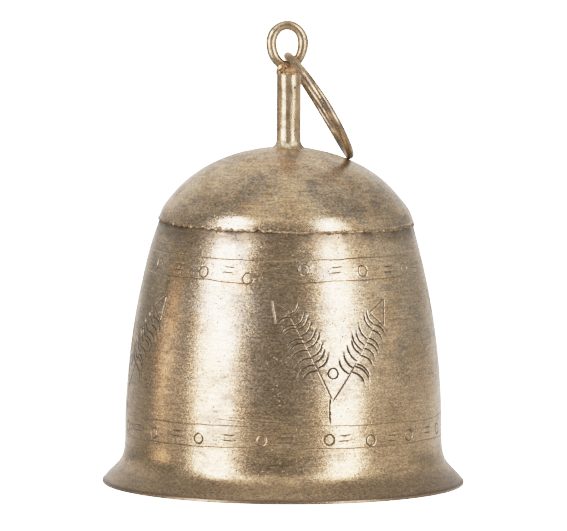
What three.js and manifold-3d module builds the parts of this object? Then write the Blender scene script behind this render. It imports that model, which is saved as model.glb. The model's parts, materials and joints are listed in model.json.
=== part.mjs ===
// Brass puja bell: a two-part sheet shell with a scribed barrel, a rod handle with a wire
// eye and a loose hanging ring, and a clapper hung on a link inside.
//
// Millimetres, +Z up. The origin is the centre of the flat ring that the lip stands on.
// The eye faces -Y, and the hanging ring lies down towards +X.

import * as THREE from 'three';
import { mergeVertices } from 'three/addons/utils/BufferGeometryUtils.js';
import Module from 'manifold-3d';

const wasm = await Module();
wasm.setup();

// ---------------------------------------------------------------- driving dimensions

// Shell
const SHEET = 1.1; // brass sheet, crown and barrel alike
const LIP_RADIUS = 65;
const LIP_EDGE = 1.1; // height of the squared edge of the lip
const LIP_LAND = 2.2; // width of the flat ring the bell stands on
const LIP_LEAN = degrees(40); // slope of the flare at the lip, from upright
const WAIST_RADIUS = 56.9;
const WAIST_HEIGHT = 20;
const SEAM_RADIUS = 45.9;
const SEAM_HEIGHT = 94.4;
const SEAM_LEAN = degrees(15.6);
const CROWN_LEAN = degrees(23.3); // slope of the crown at its rim, from upright
const APEX_HEIGHT = 121.1;
const RIM_LIP = 0.25; // how far the crown's rim stands proud of the barrel
const SEAM_GAP = 0.5; // height of the brazed joint between the barrel's shoulder and the rim
const NECK_LAP = 4; // height of the barrel's neck inside the crown
const SEAM_BEAD = 0.1; // how far the seam's braze stands proud of the crown's rim

// Pulls of the shell's outline curves: how far each end of a curve keeps its direction
const LIP_PULL = 9.7;
const FLARE_PULL = 13.5;
const BARREL_PULL = 29;
const SEAM_PULL = 19.6;
const RIM_PULL = 14.6;
const APEX_PULL = 23.5;

// Two pairs of lines scribed round the barrel, and the V of each line
const SCRIBED_HEIGHTS = [18.7, 26.7, 77.7, 85.2];
const SCRIBE_WIDTH = 0.7;
const SCRIBE_DEPTH = 0.22;

// Handle: the rod was set a little off the bell's centre line, and the eye off the rod's
const HANDLE_X = 1.2;
const EYE_X = 0.5;
const STEM_RADIUS = 4.45;
const STEM_TOP = 148.3;
const STEM_CHAMFER = 0.5;
const TENON_RADIUS = 2.5;
const TENON_HEAD_RADIUS = 3.5;
const TENON_HEAD_HEIGHT = 1.3;
const FOOT_BRAZE_RADIUS = 5.8;
const FOOT_BRAZE_HEIGHT = 1.9;
const FOOT_BRAZE_DEPTH = 0.77; // below the apex, where the crown has fallen away
const FOOT_BRAZE_EDGE = 0.1; // thickness of the fillet's edges

// Eye: an egg-shaped loop, wider above
const EYE_WIRE = 1.75;
const EYE_HALF_WIDTH = 5.7;
const EYE_MIDDLE = 158.4;
const EYE_RISE = 6.35; // from its widest level up to the wire's centre
const EYE_DROP = 8.15; // from its widest level down to the wire's centre
const EYE_BRAZE_TOP = 151.2;
const EYE_BRAZE_SWELL = 0.6; // height over which the braze comes out to its full width
const EYE_BRAZE_ROUND = 1; // rounding at its top

// Hanging ring
const RING_WIRE = 1.45;
const RING_RADIUS = 20.75; // to the wire's centre
const RING_TWIST = degrees(5.6); // turn about its own long line, as it lies
const REST_GAP = 0.3; // clearance left where a loose piece rests

// Clapper and what it hangs from
const WASHER_RADIUS = 9;
const WASHER_THICKNESS = 1.5;
const STAPLE_WIRE = 1.3;
const STAPLE_HALF_WIDTH = 5.2;
const STAPLE_LEG = 4;
const LINK_WIRE = 1.1;
const LINK_BOW = 3.1; // radius of each end of the link, to the wire's centre
const LINK_STRAIGHT = 7;
const ROD_WIRE = 1.5;
const ROD_EYE_RADIUS = 3.8;
const BALL_RADIUS = 11;
const BALL_HEIGHT = 20;
const BALL_FLAT = 0.6; // filed off the ball at each end of its bore
const PEEN_RADIUS = 2.7;
const PEEN_HEIGHT = 1.6;
const PEEN_FACE = 0.7; // share of a peened end that stays flat

// Running clearances
const FIT = 0.1;

// Facets round a full turn
const SHELL_FACETS = 60;
const ROD_FACETS = 24;
const WIRE_SIDES = 10;
const RING_FACETS = 48;

// Spans along the other curves; the shell's inside has two fewer than its outside
const FLARE_SPANS = 8;
const BARREL_SPANS = 9;
const CROWN_SPANS = 11;
const NECK_SPANS = 24;
const FILLET_SPANS = 4;
const EYE_SPANS = 16; // half the eye
const BOW_SPANS = 10; // half a turn of the small wires
const BALL_SPANS = 12;

// How closely a place on a curve is searched for, and how near two corners are welded
const HALVINGS = 30;
const SEARCH_SPANS = 200;
const SEARCH_TURN = degrees(0.05);
const WELD_DISTANCE = 1e-5;

// ---------------------------------------------------------------- worked-out places

const RIM_HEIGHT = SEAM_HEIGHT + SEAM_GAP;
const RIM_RADIUS = SEAM_RADIUS + RIM_LIP;
const EYE_HOLE_BOTTOM = EYE_MIDDLE - EYE_DROP + EYE_WIRE;
const RING_PIVOT_HEIGHT = EYE_HOLE_BOTTOM + RING_WIRE + REST_GAP;
const RING_LEAN = leanOfRestingRing();
const WASHER_TOP = heightAt(crownCurve(SHEET), WASHER_RADIUS + HANDLE_X) - 2 * FIT;
const WASHER_BOTTOM = WASHER_TOP - WASHER_THICKNESS;
const STAPLE_BOW_HEIGHT = WASHER_BOTTOM - STAPLE_LEG - STAPLE_HALF_WIDTH;
const LINK_TOP_WIRE = STAPLE_BOW_HEIGHT + STAPLE_WIRE + LINK_WIRE + FIT;
const LINK_TOP_BOW = LINK_TOP_WIRE - LINK_BOW;
const LINK_LOW_BOW = LINK_TOP_BOW - LINK_STRAIGHT;
const LINK_LOW_WIRE = LINK_LOW_BOW - LINK_BOW;
const ROD_EYE_TOP = LINK_LOW_WIRE + LINK_WIRE + ROD_WIRE + FIT;
const ROD_EYE_MIDDLE = ROD_EYE_TOP - ROD_EYE_RADIUS;

function degrees(value) {
  return THREE.MathUtils.degToRad(value);
}

// ---------------------------------------------------------------- outline curves

function point(radius, height) {
  return new THREE.Vector2(radius, height);
}

// A curve from start to end that leaves and arrives along the two given pulls.
function bend(start, startPull, end, endPull) {
  return new THREE.CubicBezierCurve(start, start.clone().add(startPull), end.clone().add(endPull), end);
}

// From the lip up to the waist. inset is the depth under the outer skin at the waist.
function flareCurve(lip, inset) {
  const lipPull = point(-Math.sin(LIP_LEAN), Math.cos(LIP_LEAN)).multiplyScalar(LIP_PULL);
  return bend(lip, lipPull, point(WAIST_RADIUS - inset, WAIST_HEIGHT), point(0, -FLARE_PULL));
}

// From the waist up to the seam.
function barrelCurve(inset) {
  const seam = point(SEAM_RADIUS - inset / Math.cos(SEAM_LEAN), SEAM_HEIGHT);
  const seamPull = point(Math.sin(SEAM_LEAN), -Math.cos(SEAM_LEAN)).multiplyScalar(SEAM_PULL);
  return bend(point(WAIST_RADIUS - inset, WAIST_HEIGHT), point(0, BARREL_PULL), seam, seamPull);
}

// From the crown's rim up to its apex.
function crownCurve(inset) {
  const rim = point(RIM_RADIUS - inset / Math.cos(CROWN_LEAN), RIM_HEIGHT);
  const rimPull = point(-Math.sin(CROWN_LEAN), Math.cos(CROWN_LEAN)).multiplyScalar(RIM_PULL);
  return bend(rim, rimPull, point(0, APEX_HEIGHT - inset), point(APEX_PULL, 0));
}

// The height of a curve where it crosses a radius, for a curve that narrows upwards.
function heightAt(curve, radius) {
  let low = 0;
  let high = 1;
  for (let step = 0; step < HALVINGS; step += 1) {
    const middle = (low + high) / 2;
    if (curve.getPoint(middle).x > radius) low = middle;
    else high = middle;
  }
  return curve.getPoint(low).y;
}

// The ring comes down from level until its far end is REST_GAP clear of the crown.
function leanOfRestingRing() {
  const crown = crownCurve(0).getPoints(SEARCH_SPANS);
  const clearance = RING_WIRE + REST_GAP;
  let lean = Math.PI / 2;
  const farEnd = () => point(
    EYE_X + 2 * RING_RADIUS * Math.sin(lean),
    RING_PIVOT_HEIGHT - 2 * RING_RADIUS * Math.cos(lean),
  );
  const distance = () => Math.min(...crown.map((place) => place.distanceTo(farEnd())));
  while (distance() > clearance) lean -= SEARCH_TURN;
  return lean;
}

// The radius of an outline at a height, between the outline's points.
function radiusAt(outline, height) {
  const above = outline.findIndex((place) => place.y >= height);
  const share = (height - outline[above - 1].y) / (outline[above].y - outline[above - 1].y);
  return THREE.MathUtils.lerp(outline[above - 1].x, outline[above].x, share);
}

// The outline with a V-shaped line cut into it at a height.
function scribed(outline, height) {
  const lower = height - SCRIBE_WIDTH / 2;
  const upper = height + SCRIBE_WIDTH / 2;
  return [
    ...outline.filter((place) => place.y < lower),
    point(radiusAt(outline, lower), lower),
    point(radiusAt(outline, height) - SCRIBE_DEPTH, height),
    point(radiusAt(outline, upper), upper),
    ...outline.filter((place) => place.y > upper),
  ];
}

// ---------------------------------------------------------------- solids

// Welds the shared corners and drops the triangles that a weld leaves with no area.
function welded(geometry) {
  geometry.deleteAttribute('normal');
  geometry.deleteAttribute('uv');
  const merged = mergeVertices(geometry, WELD_DISTANCE);
  const corners = [...merged.index.array];
  const kept = [];
  for (let first = 0; first < corners.length; first += 3) {
    const [a, b, c] = corners.slice(first, first + 3);
    if (a !== b && b !== c && c !== a) kept.push(a, b, c);
  }
  merged.setIndex(kept);
  return merged;
}

// A solid of revolution about Z. The outline runs up the outside and down the inside.
function turned(outline, facets) {
  const closed = outline[0].x > 0 ? [...outline, outline[0].clone()] : outline;
  return welded(new THREE.LatheGeometry(closed, facets).rotateX(Math.PI / 2));
}

// A round wire along points in the XZ plane, either a closed loop or with flat ends.
function wire(path, radius, isLoop) {
  const positions = [];
  const corners = [];
  const last = path.length - 1;
  const acrossPlane = new THREE.Vector3(0, 1, 0);
  path.forEach((centre, place) => {
    const before = path[place > 0 ? place - 1 : isLoop ? last : 0];
    const after = path[place < last ? place + 1 : isLoop ? 0 : last];
    const along = after.clone().sub(before).normalize();
    const inPlane = along.clone().cross(acrossPlane);
    for (let side = 0; side < WIRE_SIDES; side += 1) {
      const turn = (side / WIRE_SIDES) * 2 * Math.PI;
      const corner = centre.clone()
        .addScaledVector(inPlane, radius * Math.cos(turn))
        .addScaledVector(acrossPlane, radius * Math.sin(turn));
      positions.push(corner.x, corner.y, corner.z);
    }
  });
  const spans = isLoop ? path.length : last;
  for (let span = 0; span < spans; span += 1) {
    const here = span * WIRE_SIDES;
    const next = ((span + 1) % path.length) * WIRE_SIDES;
    for (let side = 0; side < WIRE_SIDES; side += 1) {
      const beside = (side + 1) % WIRE_SIDES;
      corners.push(here + side, next + side, here + beside);
      corners.push(next + side, next + beside, here + beside);
    }
  }
  if (!isLoop) {
    for (let side = 1; side < WIRE_SIDES - 1; side += 1) {
      const end = last * WIRE_SIDES;
      corners.push(0, side, side + 1);
      corners.push(end, end + side + 1, end + side);
    }
  }
  const geometry = new THREE.BufferGeometry();
  geometry.setAttribute('position', new THREE.Float32BufferAttribute(positions, 3));
  geometry.setIndex(corners);
  return geometry;
}

// Points of an arc in the XZ plane, from one angle to another, both measured from +X.
function arcPoints(centreX, centreZ, radiusX, radiusZ, from, to, count) {
  return Array.from({ length: count + 1 }, (unused, step) => {
    const angle = THREE.MathUtils.lerp(from, to, step / count);
    return new THREE.Vector3(centreX + radiusX * Math.cos(angle), 0, centreZ + radiusZ * Math.sin(angle));
  });
}

function toManifold(geometry) {
  return new wasm.Manifold(new wasm.Mesh({
    numProp: 3,
    vertProperties: new Float32Array(geometry.attributes.position.array),
    triVerts: new Uint32Array(geometry.index.array),
  }));
}

function fromManifold(solid) {
  const mesh = solid.getMesh();
  const geometry = new THREE.BufferGeometry();
  geometry.setAttribute('position', new THREE.BufferAttribute(mesh.vertProperties, 3));
  geometry.setIndex(new THREE.BufferAttribute(mesh.triVerts, 1));
  return geometry;
}

function cut(body, tool) {
  return fromManifold(toManifold(body).subtract(toManifold(tool)));
}

function joined(first, second) {
  return fromManifold(toManifold(first).add(toManifold(second)));
}

// ---------------------------------------------------------------- materials

// Aged pale brass. Handled pieces are brighter, brazing metal is yellower and rougher, and
// the inside has darkened.
function brass(colour, roughness) {
  return new THREE.MeshStandardMaterial({ color: colour, roughness, metalness: 1 });
}

const agedBrass = brass(0xb9a179, 0.38);
const handledBrass = brass(0xc0a57a, 0.32);
const brazingMetal = brass(0xb08a4f, 0.55);
const dullBrass = brass(0x8a7048, 0.6);

function piece(name, geometry, material) {
  const mesh = new THREE.Mesh(geometry, material);
  mesh.name = name;
  return mesh;
}

// ---------------------------------------------------------------- shell

// The part of the crown's inner curve that the barrel's neck follows.
function neckPoints(inset) {
  return crownCurve(inset).getPoints(NECK_SPANS).filter((place) => place.y <= RIM_HEIGHT + NECK_LAP);
}

function bellBody() {
  const flare = flareCurve(point(LIP_RADIUS, LIP_EDGE), 0).getPoints(FLARE_SPANS);
  const barrel = barrelCurve(0).getPoints(BARREL_SPANS).slice(1);
  const outside = SCRIBED_HEIGHTS.reduce(scribed, [...flare, ...barrel]);
  const neckOutside = neckPoints(SHEET + FIT);
  const neckInside = neckPoints(2 * SHEET + FIT).reverse();
  const innerLip = point(LIP_RADIUS - LIP_LAND, 0);
  const inside = [
    ...barrelCurve(SHEET).getPoints(BARREL_SPANS - 2).reverse().slice(1),
    ...flareCurve(innerLip, SHEET).getPoints(FLARE_SPANS - 2).reverse().slice(1),
  ];
  const shoulder = point(neckOutside[0].x, SEAM_HEIGHT);
  const outline = [
    point(LIP_RADIUS, 0), ...outside, shoulder, ...neckOutside, ...neckInside, ...inside,
  ];
  return turned(outline, SHELL_FACETS);
}

function crownBlank() {
  const outside = crownCurve(0).getPoints(CROWN_SPANS);
  const inside = crownCurve(SHEET).getPoints(CROWN_SPANS - 2).reverse();
  return turned([...inside, ...outside], SHELL_FACETS);
}

function crownDome() {
  const through = 10 * SHEET;
  const hole = new THREE.CylinderGeometry(TENON_RADIUS + FIT, TENON_RADIUS + FIT, through, ROD_FACETS)
    .rotateX(Math.PI / 2)
    .translate(HANDLE_X, 0, APEX_HEIGHT);
  return cut(crownBlank(), welded(hole));
}

// The braze fills the gap under the rim and stands out of it as a low bead.
function seamBraze() {
  const inner = neckPoints(SHEET + FIT)[0].x + FIT / 2;
  const middle = (SEAM_HEIGHT + RIM_HEIGHT) / 2;
  return turned([
    point(inner, SEAM_HEIGHT),
    point(SEAM_RADIUS, SEAM_HEIGHT),
    point(RIM_RADIUS + SEAM_BEAD, middle),
    point(RIM_RADIUS, RIM_HEIGHT),
    point(inner, RIM_HEIGHT),
  ], SHELL_FACETS);
}

// ---------------------------------------------------------------- handle

// Rod, tenon through the crown, and the tenon's end peened over the washer.
function handleStem() {
  const headBottom = WASHER_BOTTOM - TENON_HEAD_HEIGHT;
  return turned([
    point(0, headBottom),
    point(TENON_HEAD_RADIUS * PEEN_FACE, headBottom),
    point(TENON_HEAD_RADIUS, headBottom + TENON_HEAD_HEIGHT / 2),
    point(TENON_HEAD_RADIUS, WASHER_BOTTOM),
    point(TENON_RADIUS, WASHER_BOTTOM),
    point(TENON_RADIUS, APEX_HEIGHT),
    point(STEM_RADIUS, APEX_HEIGHT),
    point(STEM_RADIUS, STEM_TOP - STEM_CHAMFER),
    point(STEM_RADIUS - STEM_CHAMFER, STEM_TOP),
    point(0, STEM_TOP),
  ], ROD_FACETS);
}

// A hollow fillet round the stem's foot, cut underneath to the crown's curve.
function stemBraze() {
  const bottom = APEX_HEIGHT - FOOT_BRAZE_DEPTH;
  const top = APEX_HEIGHT + FOOT_BRAZE_HEIGHT;
  const fillet = new THREE.QuadraticBezierCurve(
    point(FOOT_BRAZE_RADIUS, APEX_HEIGHT + FOOT_BRAZE_EDGE),
    point(STEM_RADIUS + 3 * FOOT_BRAZE_EDGE, APEX_HEIGHT + 3 * FOOT_BRAZE_EDGE),
    point(STEM_RADIUS + FOOT_BRAZE_EDGE, top),
  ).getPoints(FILLET_SPANS);
  const ring = turned([
    point(STEM_RADIUS, bottom),
    point(FOOT_BRAZE_RADIUS, bottom),
    ...fillet,
    point(STEM_RADIUS, top),
  ], ROD_FACETS);
  return cut(ring, crownBlank().translate(-HANDLE_X, 0, 0));
}

function suspensionEye() {
  const turn = 2 * Math.PI;
  const middleX = EYE_X - HANDLE_X;
  const upper = arcPoints(middleX, EYE_MIDDLE, EYE_HALF_WIDTH, EYE_RISE, 0, turn / 2, EYE_SPANS);
  const lower = arcPoints(middleX, EYE_MIDDLE, EYE_HALF_WIDTH, EYE_DROP, turn / 2, turn, EYE_SPANS);
  return wire([...upper.slice(0, -1), ...lower.slice(0, -1)], EYE_WIRE, true);
}

// Brazing metal that cups the bottom of the eye and joins it to the top of the stem.
function eyeBraze() {
  const foot = STEM_RADIUS - STEM_CHAMFER;
  const cup = turned([
    point(0, STEM_TOP),
    point(foot, STEM_TOP),
    point(foot + FIT, STEM_TOP + EYE_BRAZE_SWELL),
    point(foot - EYE_BRAZE_ROUND / 2, EYE_BRAZE_TOP - EYE_BRAZE_ROUND),
    point(foot - 3 * EYE_BRAZE_ROUND / 2, EYE_BRAZE_TOP),
    point(0, EYE_BRAZE_TOP),
  ], ROD_FACETS);
  return cut(cup, suspensionEye());
}

function handle() {
  const group = new THREE.Group();
  group.name = 'handle_group';
  group.position.x = HANDLE_X;
  group.add(piece('handle_stem', handleStem(), handledBrass));
  group.add(piece('stem_braze', stemBraze(), brazingMetal));
  group.add(piece('suspension_eye', suspensionEye(), handledBrass));
  group.add(piece('eye_braze', eyeBraze(), brazingMetal));
  return group;
}

// ---------------------------------------------------------------- hanging ring

// The ring hangs from its pivot, the centre of its wire where it passes through the eye,
// and leans over until it lies on the crown.
function hangingRing() {
  const circle = arcPoints(0, -RING_RADIUS, RING_RADIUS, RING_RADIUS, 0, 2 * Math.PI, RING_FACETS);
  const ring = piece('hanging_ring', wire(circle.slice(0, -1), RING_WIRE, true), handledBrass);
  ring.rotation.z = Math.PI / 2 + RING_TWIST;
  const pivot = new THREE.Group();
  pivot.name = 'ring_pivot';
  pivot.position.set(EYE_X, 0, RING_PIVOT_HEIGHT);
  pivot.rotation.y = -RING_LEAN;
  pivot.add(ring);
  return pivot;
}

// ---------------------------------------------------------------- clapper

function innerWasher() {
  return turned([
    point(TENON_RADIUS, WASHER_BOTTOM),
    point(WASHER_RADIUS, WASHER_BOTTOM),
    point(WASHER_RADIUS, WASHER_TOP),
    point(TENON_RADIUS, WASHER_TOP),
  ], ROD_FACETS);
}

// A U of wire with both feet brazed to the washer, across the tenon's head.
function clapperStaple() {
  const bowMiddle = WASHER_BOTTOM - STAPLE_LEG;
  const bow = arcPoints(
    0, bowMiddle, STAPLE_HALF_WIDTH, STAPLE_HALF_WIDTH, Math.PI, 2 * Math.PI, BOW_SPANS,
  );
  const feet = [-STAPLE_HALF_WIDTH, STAPLE_HALF_WIDTH].map((x) => new THREE.Vector3(x, 0, WASHER_BOTTOM));
  return wire([feet[0], ...bow, feet[1]], STAPLE_WIRE, false);
}

// A straight-sided link, turned a quarter turn to the staple.
function clapperLink() {
  const top = arcPoints(0, LINK_TOP_BOW, LINK_BOW, LINK_BOW, 0, Math.PI, BOW_SPANS);
  const bottom = arcPoints(0, LINK_LOW_BOW, LINK_BOW, LINK_BOW, Math.PI, 2 * Math.PI, BOW_SPANS);
  return wire([...top, ...bottom], LINK_WIRE, true);
}

// Forged eye, straight shank, and the end peened over under the ball.
function clapperRod() {
  const eyePath = arcPoints(
    0, ROD_EYE_MIDDLE, ROD_EYE_RADIUS, ROD_EYE_RADIUS, 0, 2 * Math.PI, 2 * BOW_SPANS,
  );
  const eye = wire(eyePath.slice(0, -1), ROD_WIRE, true);
  const ballBottom = BALL_HEIGHT - BALL_RADIUS + BALL_FLAT;
  const shank = turned([
    point(0, ballBottom - PEEN_HEIGHT),
    point(PEEN_RADIUS * PEEN_FACE, ballBottom - PEEN_HEIGHT),
    point(PEEN_RADIUS, ballBottom - PEEN_HEIGHT / 2),
    point(PEEN_RADIUS, ballBottom),
    point(ROD_WIRE, ballBottom),
    point(ROD_WIRE, ROD_EYE_MIDDLE - ROD_EYE_RADIUS),
    point(0, ROD_EYE_MIDDLE - ROD_EYE_RADIUS),
  ], WIRE_SIDES * 2);
  return joined(shank, eye);
}

// A cast ball bored for the rod and filed flat at both ends of the bore.
function clapperBall() {
  const flatAngle = Math.asin(1 - BALL_FLAT / BALL_RADIUS);
  const side = arcPoints(0, BALL_HEIGHT, BALL_RADIUS, BALL_RADIUS, -flatAngle, flatAngle, BALL_SPANS);
  const bore = ROD_WIRE + FIT;
  const flat = BALL_RADIUS - BALL_FLAT;
  return turned([
    point(bore, BALL_HEIGHT - flat),
    ...side.map((place) => point(place.x, place.z)),
    point(bore, BALL_HEIGHT + flat),
  ], ROD_FACETS);
}

function clapper() {
  const group = new THREE.Group();
  group.name = 'clapper_group';
  group.position.x = HANDLE_X;
  const link = piece('clapper_link', clapperLink(), dullBrass);
  link.rotation.z = Math.PI / 2;
  group.add(piece('inner_washer', innerWasher(), dullBrass));
  group.add(piece('clapper_staple', clapperStaple(), dullBrass));
  group.add(link);
  group.add(piece('clapper_rod', clapperRod(), dullBrass));
  group.add(piece('clapper_ball', clapperBall(), dullBrass));
  return group;
}

// ---------------------------------------------------------------- assembly

const bell = new THREE.Group();
bell.name = 'puja_bell';
bell.add(piece('bell_body', bellBody(), agedBrass));
bell.add(piece('crown_dome', crownDome(), agedBrass));
bell.add(piece('seam_braze', seamBraze(), brazingMetal));
bell.add(handle());
bell.add(hangingRing());
bell.add(clapper());

export default bell;
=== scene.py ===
"""Brass puja bell: hand-made, engraved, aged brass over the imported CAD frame."""

import json
import math

import bpy
import numpy as np
from mathutils import Matrix, Vector
from mathutils.geometry import delaunay_2d_cdt


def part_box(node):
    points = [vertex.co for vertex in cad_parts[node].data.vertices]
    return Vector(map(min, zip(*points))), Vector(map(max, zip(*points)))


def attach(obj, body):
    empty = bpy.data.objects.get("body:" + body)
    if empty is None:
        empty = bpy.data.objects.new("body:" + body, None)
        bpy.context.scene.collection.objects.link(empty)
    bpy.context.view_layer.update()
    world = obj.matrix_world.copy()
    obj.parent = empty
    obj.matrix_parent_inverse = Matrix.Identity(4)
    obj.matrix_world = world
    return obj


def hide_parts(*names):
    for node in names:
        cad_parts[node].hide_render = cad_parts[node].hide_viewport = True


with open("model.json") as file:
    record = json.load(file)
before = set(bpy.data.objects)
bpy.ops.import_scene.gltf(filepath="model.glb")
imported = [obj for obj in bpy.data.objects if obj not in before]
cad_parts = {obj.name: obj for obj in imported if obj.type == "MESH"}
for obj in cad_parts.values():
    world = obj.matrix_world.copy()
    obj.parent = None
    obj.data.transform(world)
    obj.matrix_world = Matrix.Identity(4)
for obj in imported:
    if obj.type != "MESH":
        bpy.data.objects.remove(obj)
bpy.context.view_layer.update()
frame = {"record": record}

# ------------------------------------------------------------------ sizes, in millimetres

MM = 0.001
FULL_TURN = 2 * math.pi
FRONT = -math.pi / 2  # the direction -Y, which the eye faces


def edge_of(node, side, axis):
    """One edge of a node's box at rest, in millimetres: side 0 is low and 1 is high."""
    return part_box(node)[side][axis] / MM


LIP_RADIUS = edge_of("bell_body", 1, 0)
NECK_TOP = edge_of("bell_body", 1, 2)
SEAM_HEIGHT = edge_of("seam_braze", 0, 2)
RIM_HEIGHT = edge_of("crown_dome", 0, 2)
RIM_RADIUS = edge_of("crown_dome", 1, 0)
APEX_HEIGHT = 121.1
STEM_RADIUS = edge_of("handle_stem", 1, 1)
STEM_TOP = edge_of("handle_stem", 1, 2)
HANDLE_X = (edge_of("handle_stem", 0, 0) + edge_of("handle_stem", 1, 0)) / 2
EYE_X = (edge_of("suspension_eye", 0, 0) + edge_of("suspension_eye", 1, 0)) / 2
EYE_TOP = edge_of("suspension_eye", 1, 2)
EYE_BOTTOM = edge_of("suspension_eye", 0, 2)
BALL_RADIUS = edge_of("clapper_ball", 1, 1)
BALL_HEIGHT = (edge_of("clapper_ball", 0, 2) + edge_of("clapper_ball", 1, 2)) / 2
ROD_BOTTOM = edge_of("clapper_rod", 0, 2)
ROD_TOP = edge_of("clapper_rod", 1, 2)
LINK_TOP = edge_of("clapper_link", 1, 2)
LINK_BOTTOM = edge_of("clapper_link", 0, 2)
WASHER_RADIUS = edge_of("inner_washer", 1, 1)
WASHER_TOP = edge_of("inner_washer", 1, 2)
WASHER_BOTTOM = edge_of("inner_washer", 0, 2)
STAPLE_BOTTOM = edge_of("clapper_staple", 0, 2)
STAPLE_SIDE = edge_of("clapper_staple", 1, 0)

# The same values as the CAD. A wire's size is its radius, and a lean is from upright.
SHEET = 1.1  # thickness
LIP_EDGE = 1.1  # height of the lip's squared edge
LIP_LAND = 2.2  # width of the flat ring that the bell stands on
LIP_LEAN = math.radians(40)
WAIST_RADIUS = 56.9
WAIST_HEIGHT = 20.0
SEAM_RADIUS = 45.9
SEAM_LEAN = math.radians(15.6)
CROWN_LEAN = math.radians(23.3)
TENON_RADIUS = 2.5
TENON_HEAD_RADIUS = 3.5
EYE_WIRE = 1.75
EYE_HALF_WIDTH = 5.7
EYE_MIDDLE = 158.4
RING_WIRE = 1.45
RING_RADIUS = 20.75
STAPLE_WIRE = 1.3
LINK_WIRE = 1.1
ROD_WIRE = 1.5
ROD_EYE_RADIUS = 3.8
PEEN_RADIUS = 2.7
BALL_FLAT = 0.6  # filed off the ball at each end of its bore

# How hard each outline's curve is pulled along its two ends
LIP_PULL = 9.7
FLARE_PULL = 13.5
BARREL_PULL = 29.0
SEAM_PULL = 19.6
RIM_PULL = 14.6
APEX_PULL = 23.5

# Wear and handwork that the CAD leaves out
RING_BOW = 1.3  # how far the ring's sides are bent away from the bell
RING_STRETCH = 0.5
RING_SHIFT = 0.3  # to the right
RIM_FULLNESS = 0.45  # how far the crown bulges just above its rim
SHOULDER_SET_IN = 0.8  # how far the shoulder is beaten in on the left
STEM_WEAR = 0.10
PUNCH_RADIUS = 1.85  # of the ring punch's mark, to the middle of its cut
SLACK = 0.1  # left between pieces that fit round each other

# Mesh fineness
COLUMNS = 288  # vertices round the shell
SKIN_ROW = 1.2  # height between the skin's plain rows
UNROLL_RADIUS = 52.0  # the shell is unrolled flat at about its mean radius
NEAR = 1e-3  # places closer than this are the same place
STROKE_STEP = 0.3  # length between the vertices along an engraved stroke
CLEAR_CELL = 0.85  # plain vertices are left out of the cells of this size round a stroke
SPLIT = math.radians(-211)  # the skin is unrolled from here, where only scribed lines cross


# ------------------------------------------------------------------ outlines

def even_turns(count, start=0.0):
    """Angles spread evenly over a full turn."""
    return np.arange(count) / count * FULL_TURN + start


def bend(start, start_pull, end, end_pull, count):
    """Points of a cubic curve that leaves start and reaches end along the two pulls."""
    corners = [np.array(start, float), np.array(end, float)]
    first = corners[0] + start_pull
    second = corners[1] + end_pull
    t = np.linspace(0, 1, count + 1)[:, None]
    return (
        (1 - t) ** 3 * corners[0]
        + 3 * (1 - t) ** 2 * t * first
        + 3 * (1 - t) * t**2 * second
        + t**3 * corners[1]
    )


def leaning(lean, length):
    """A pull of the given length that leans inwards from upright."""
    return np.array([-math.sin(lean), math.cos(lean)]) * length


def radius_at(height, outline):
    """How far an outline is from the axis at a height."""
    return np.interp(height, outline[:, 1], outline[:, 0])


def flare(lip, inset, count):
    """From a place on the lip up to the waist, the given distance inside the surface."""
    waist = (WAIST_RADIUS - inset, WAIST_HEIGHT)
    return bend(lip, leaning(LIP_LEAN, LIP_PULL), waist, np.array([0, -FLARE_PULL]), count)


def barrel(inset, count):
    """From the waist up to the seam."""
    waist = (WAIST_RADIUS - inset, WAIST_HEIGHT)
    seam = (SEAM_RADIUS - inset / math.cos(SEAM_LEAN), SEAM_HEIGHT)
    return bend(waist, np.array([0, BARREL_PULL]), seam, -leaning(SEAM_LEAN, SEAM_PULL), count)


def body_outside(flare_count, barrel_count):
    """The whole outside of the barrel, from the lip up to the seam."""
    lip = (LIP_RADIUS, LIP_EDGE)
    return np.vstack([flare(lip, 0, flare_count), barrel(0, barrel_count)[1:]])


def crown(inset, count):
    """From the rim up to the apex."""
    rim = (RIM_RADIUS - inset / math.cos(CROWN_LEAN), RIM_HEIGHT)
    apex = (0, APEX_HEIGHT - inset)
    return bend(rim, leaning(CROWN_LEAN, RIM_PULL), apex, np.array([APEX_PULL, 0]), count)


# ------------------------------------------------------------------ hand-made irregularity

def waves(angle, height, seed, wavelength, size):
    """A smooth seeded surface that closes on itself round the bell, about size high."""
    count = 14
    rng = np.random.default_rng(seed)
    total = np.zeros(np.broadcast(angle, height).shape)
    for _ in range(count):
        direction = rng.uniform(0, math.pi)
        per_mm = FULL_TURN / (wavelength * rng.uniform(0.7, 1.6))
        turns = max(1, round(abs(math.cos(direction)) * per_mm * UNROLL_RADIUS))
        rise = math.sin(direction) * per_mm
        phase = rng.uniform(0, FULL_TURN)
        total = total + np.sin(turns * angle + rise * height + phase)
    return total * size / math.sqrt(count / 2)


def body_unevenness(angle, height):
    """Millimetres in or out of true. It fades out at the lip, which is turned true."""
    true_height, fade_height = 2, 12
    broad = waves(angle, height, seed=3, wavelength=42, size=0.055)
    fine = waves(angle, height, seed=4, wavelength=15, size=0.012)
    return (broad + fine) * np.clip((height - true_height) / fade_height, 0, 1)


def crown_unevenness(angle, height):
    """Millimetres in or out of true."""
    broad = waves(angle, height, seed=5, wavelength=34, size=0.10)
    return broad + waves(angle, height, seed=6, wavelength=12, size=0.022)


def decay(distance, reach):
    """1 at no distance, falling away over the given reach."""
    return np.exp(-distance / reach)


def hump(distance, reach):
    """1 at no distance, falling away smoothly on both sides over the given reach."""
    return np.exp(-((distance / reach) ** 2))


# ------------------------------------------------------------------ engraving

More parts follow.
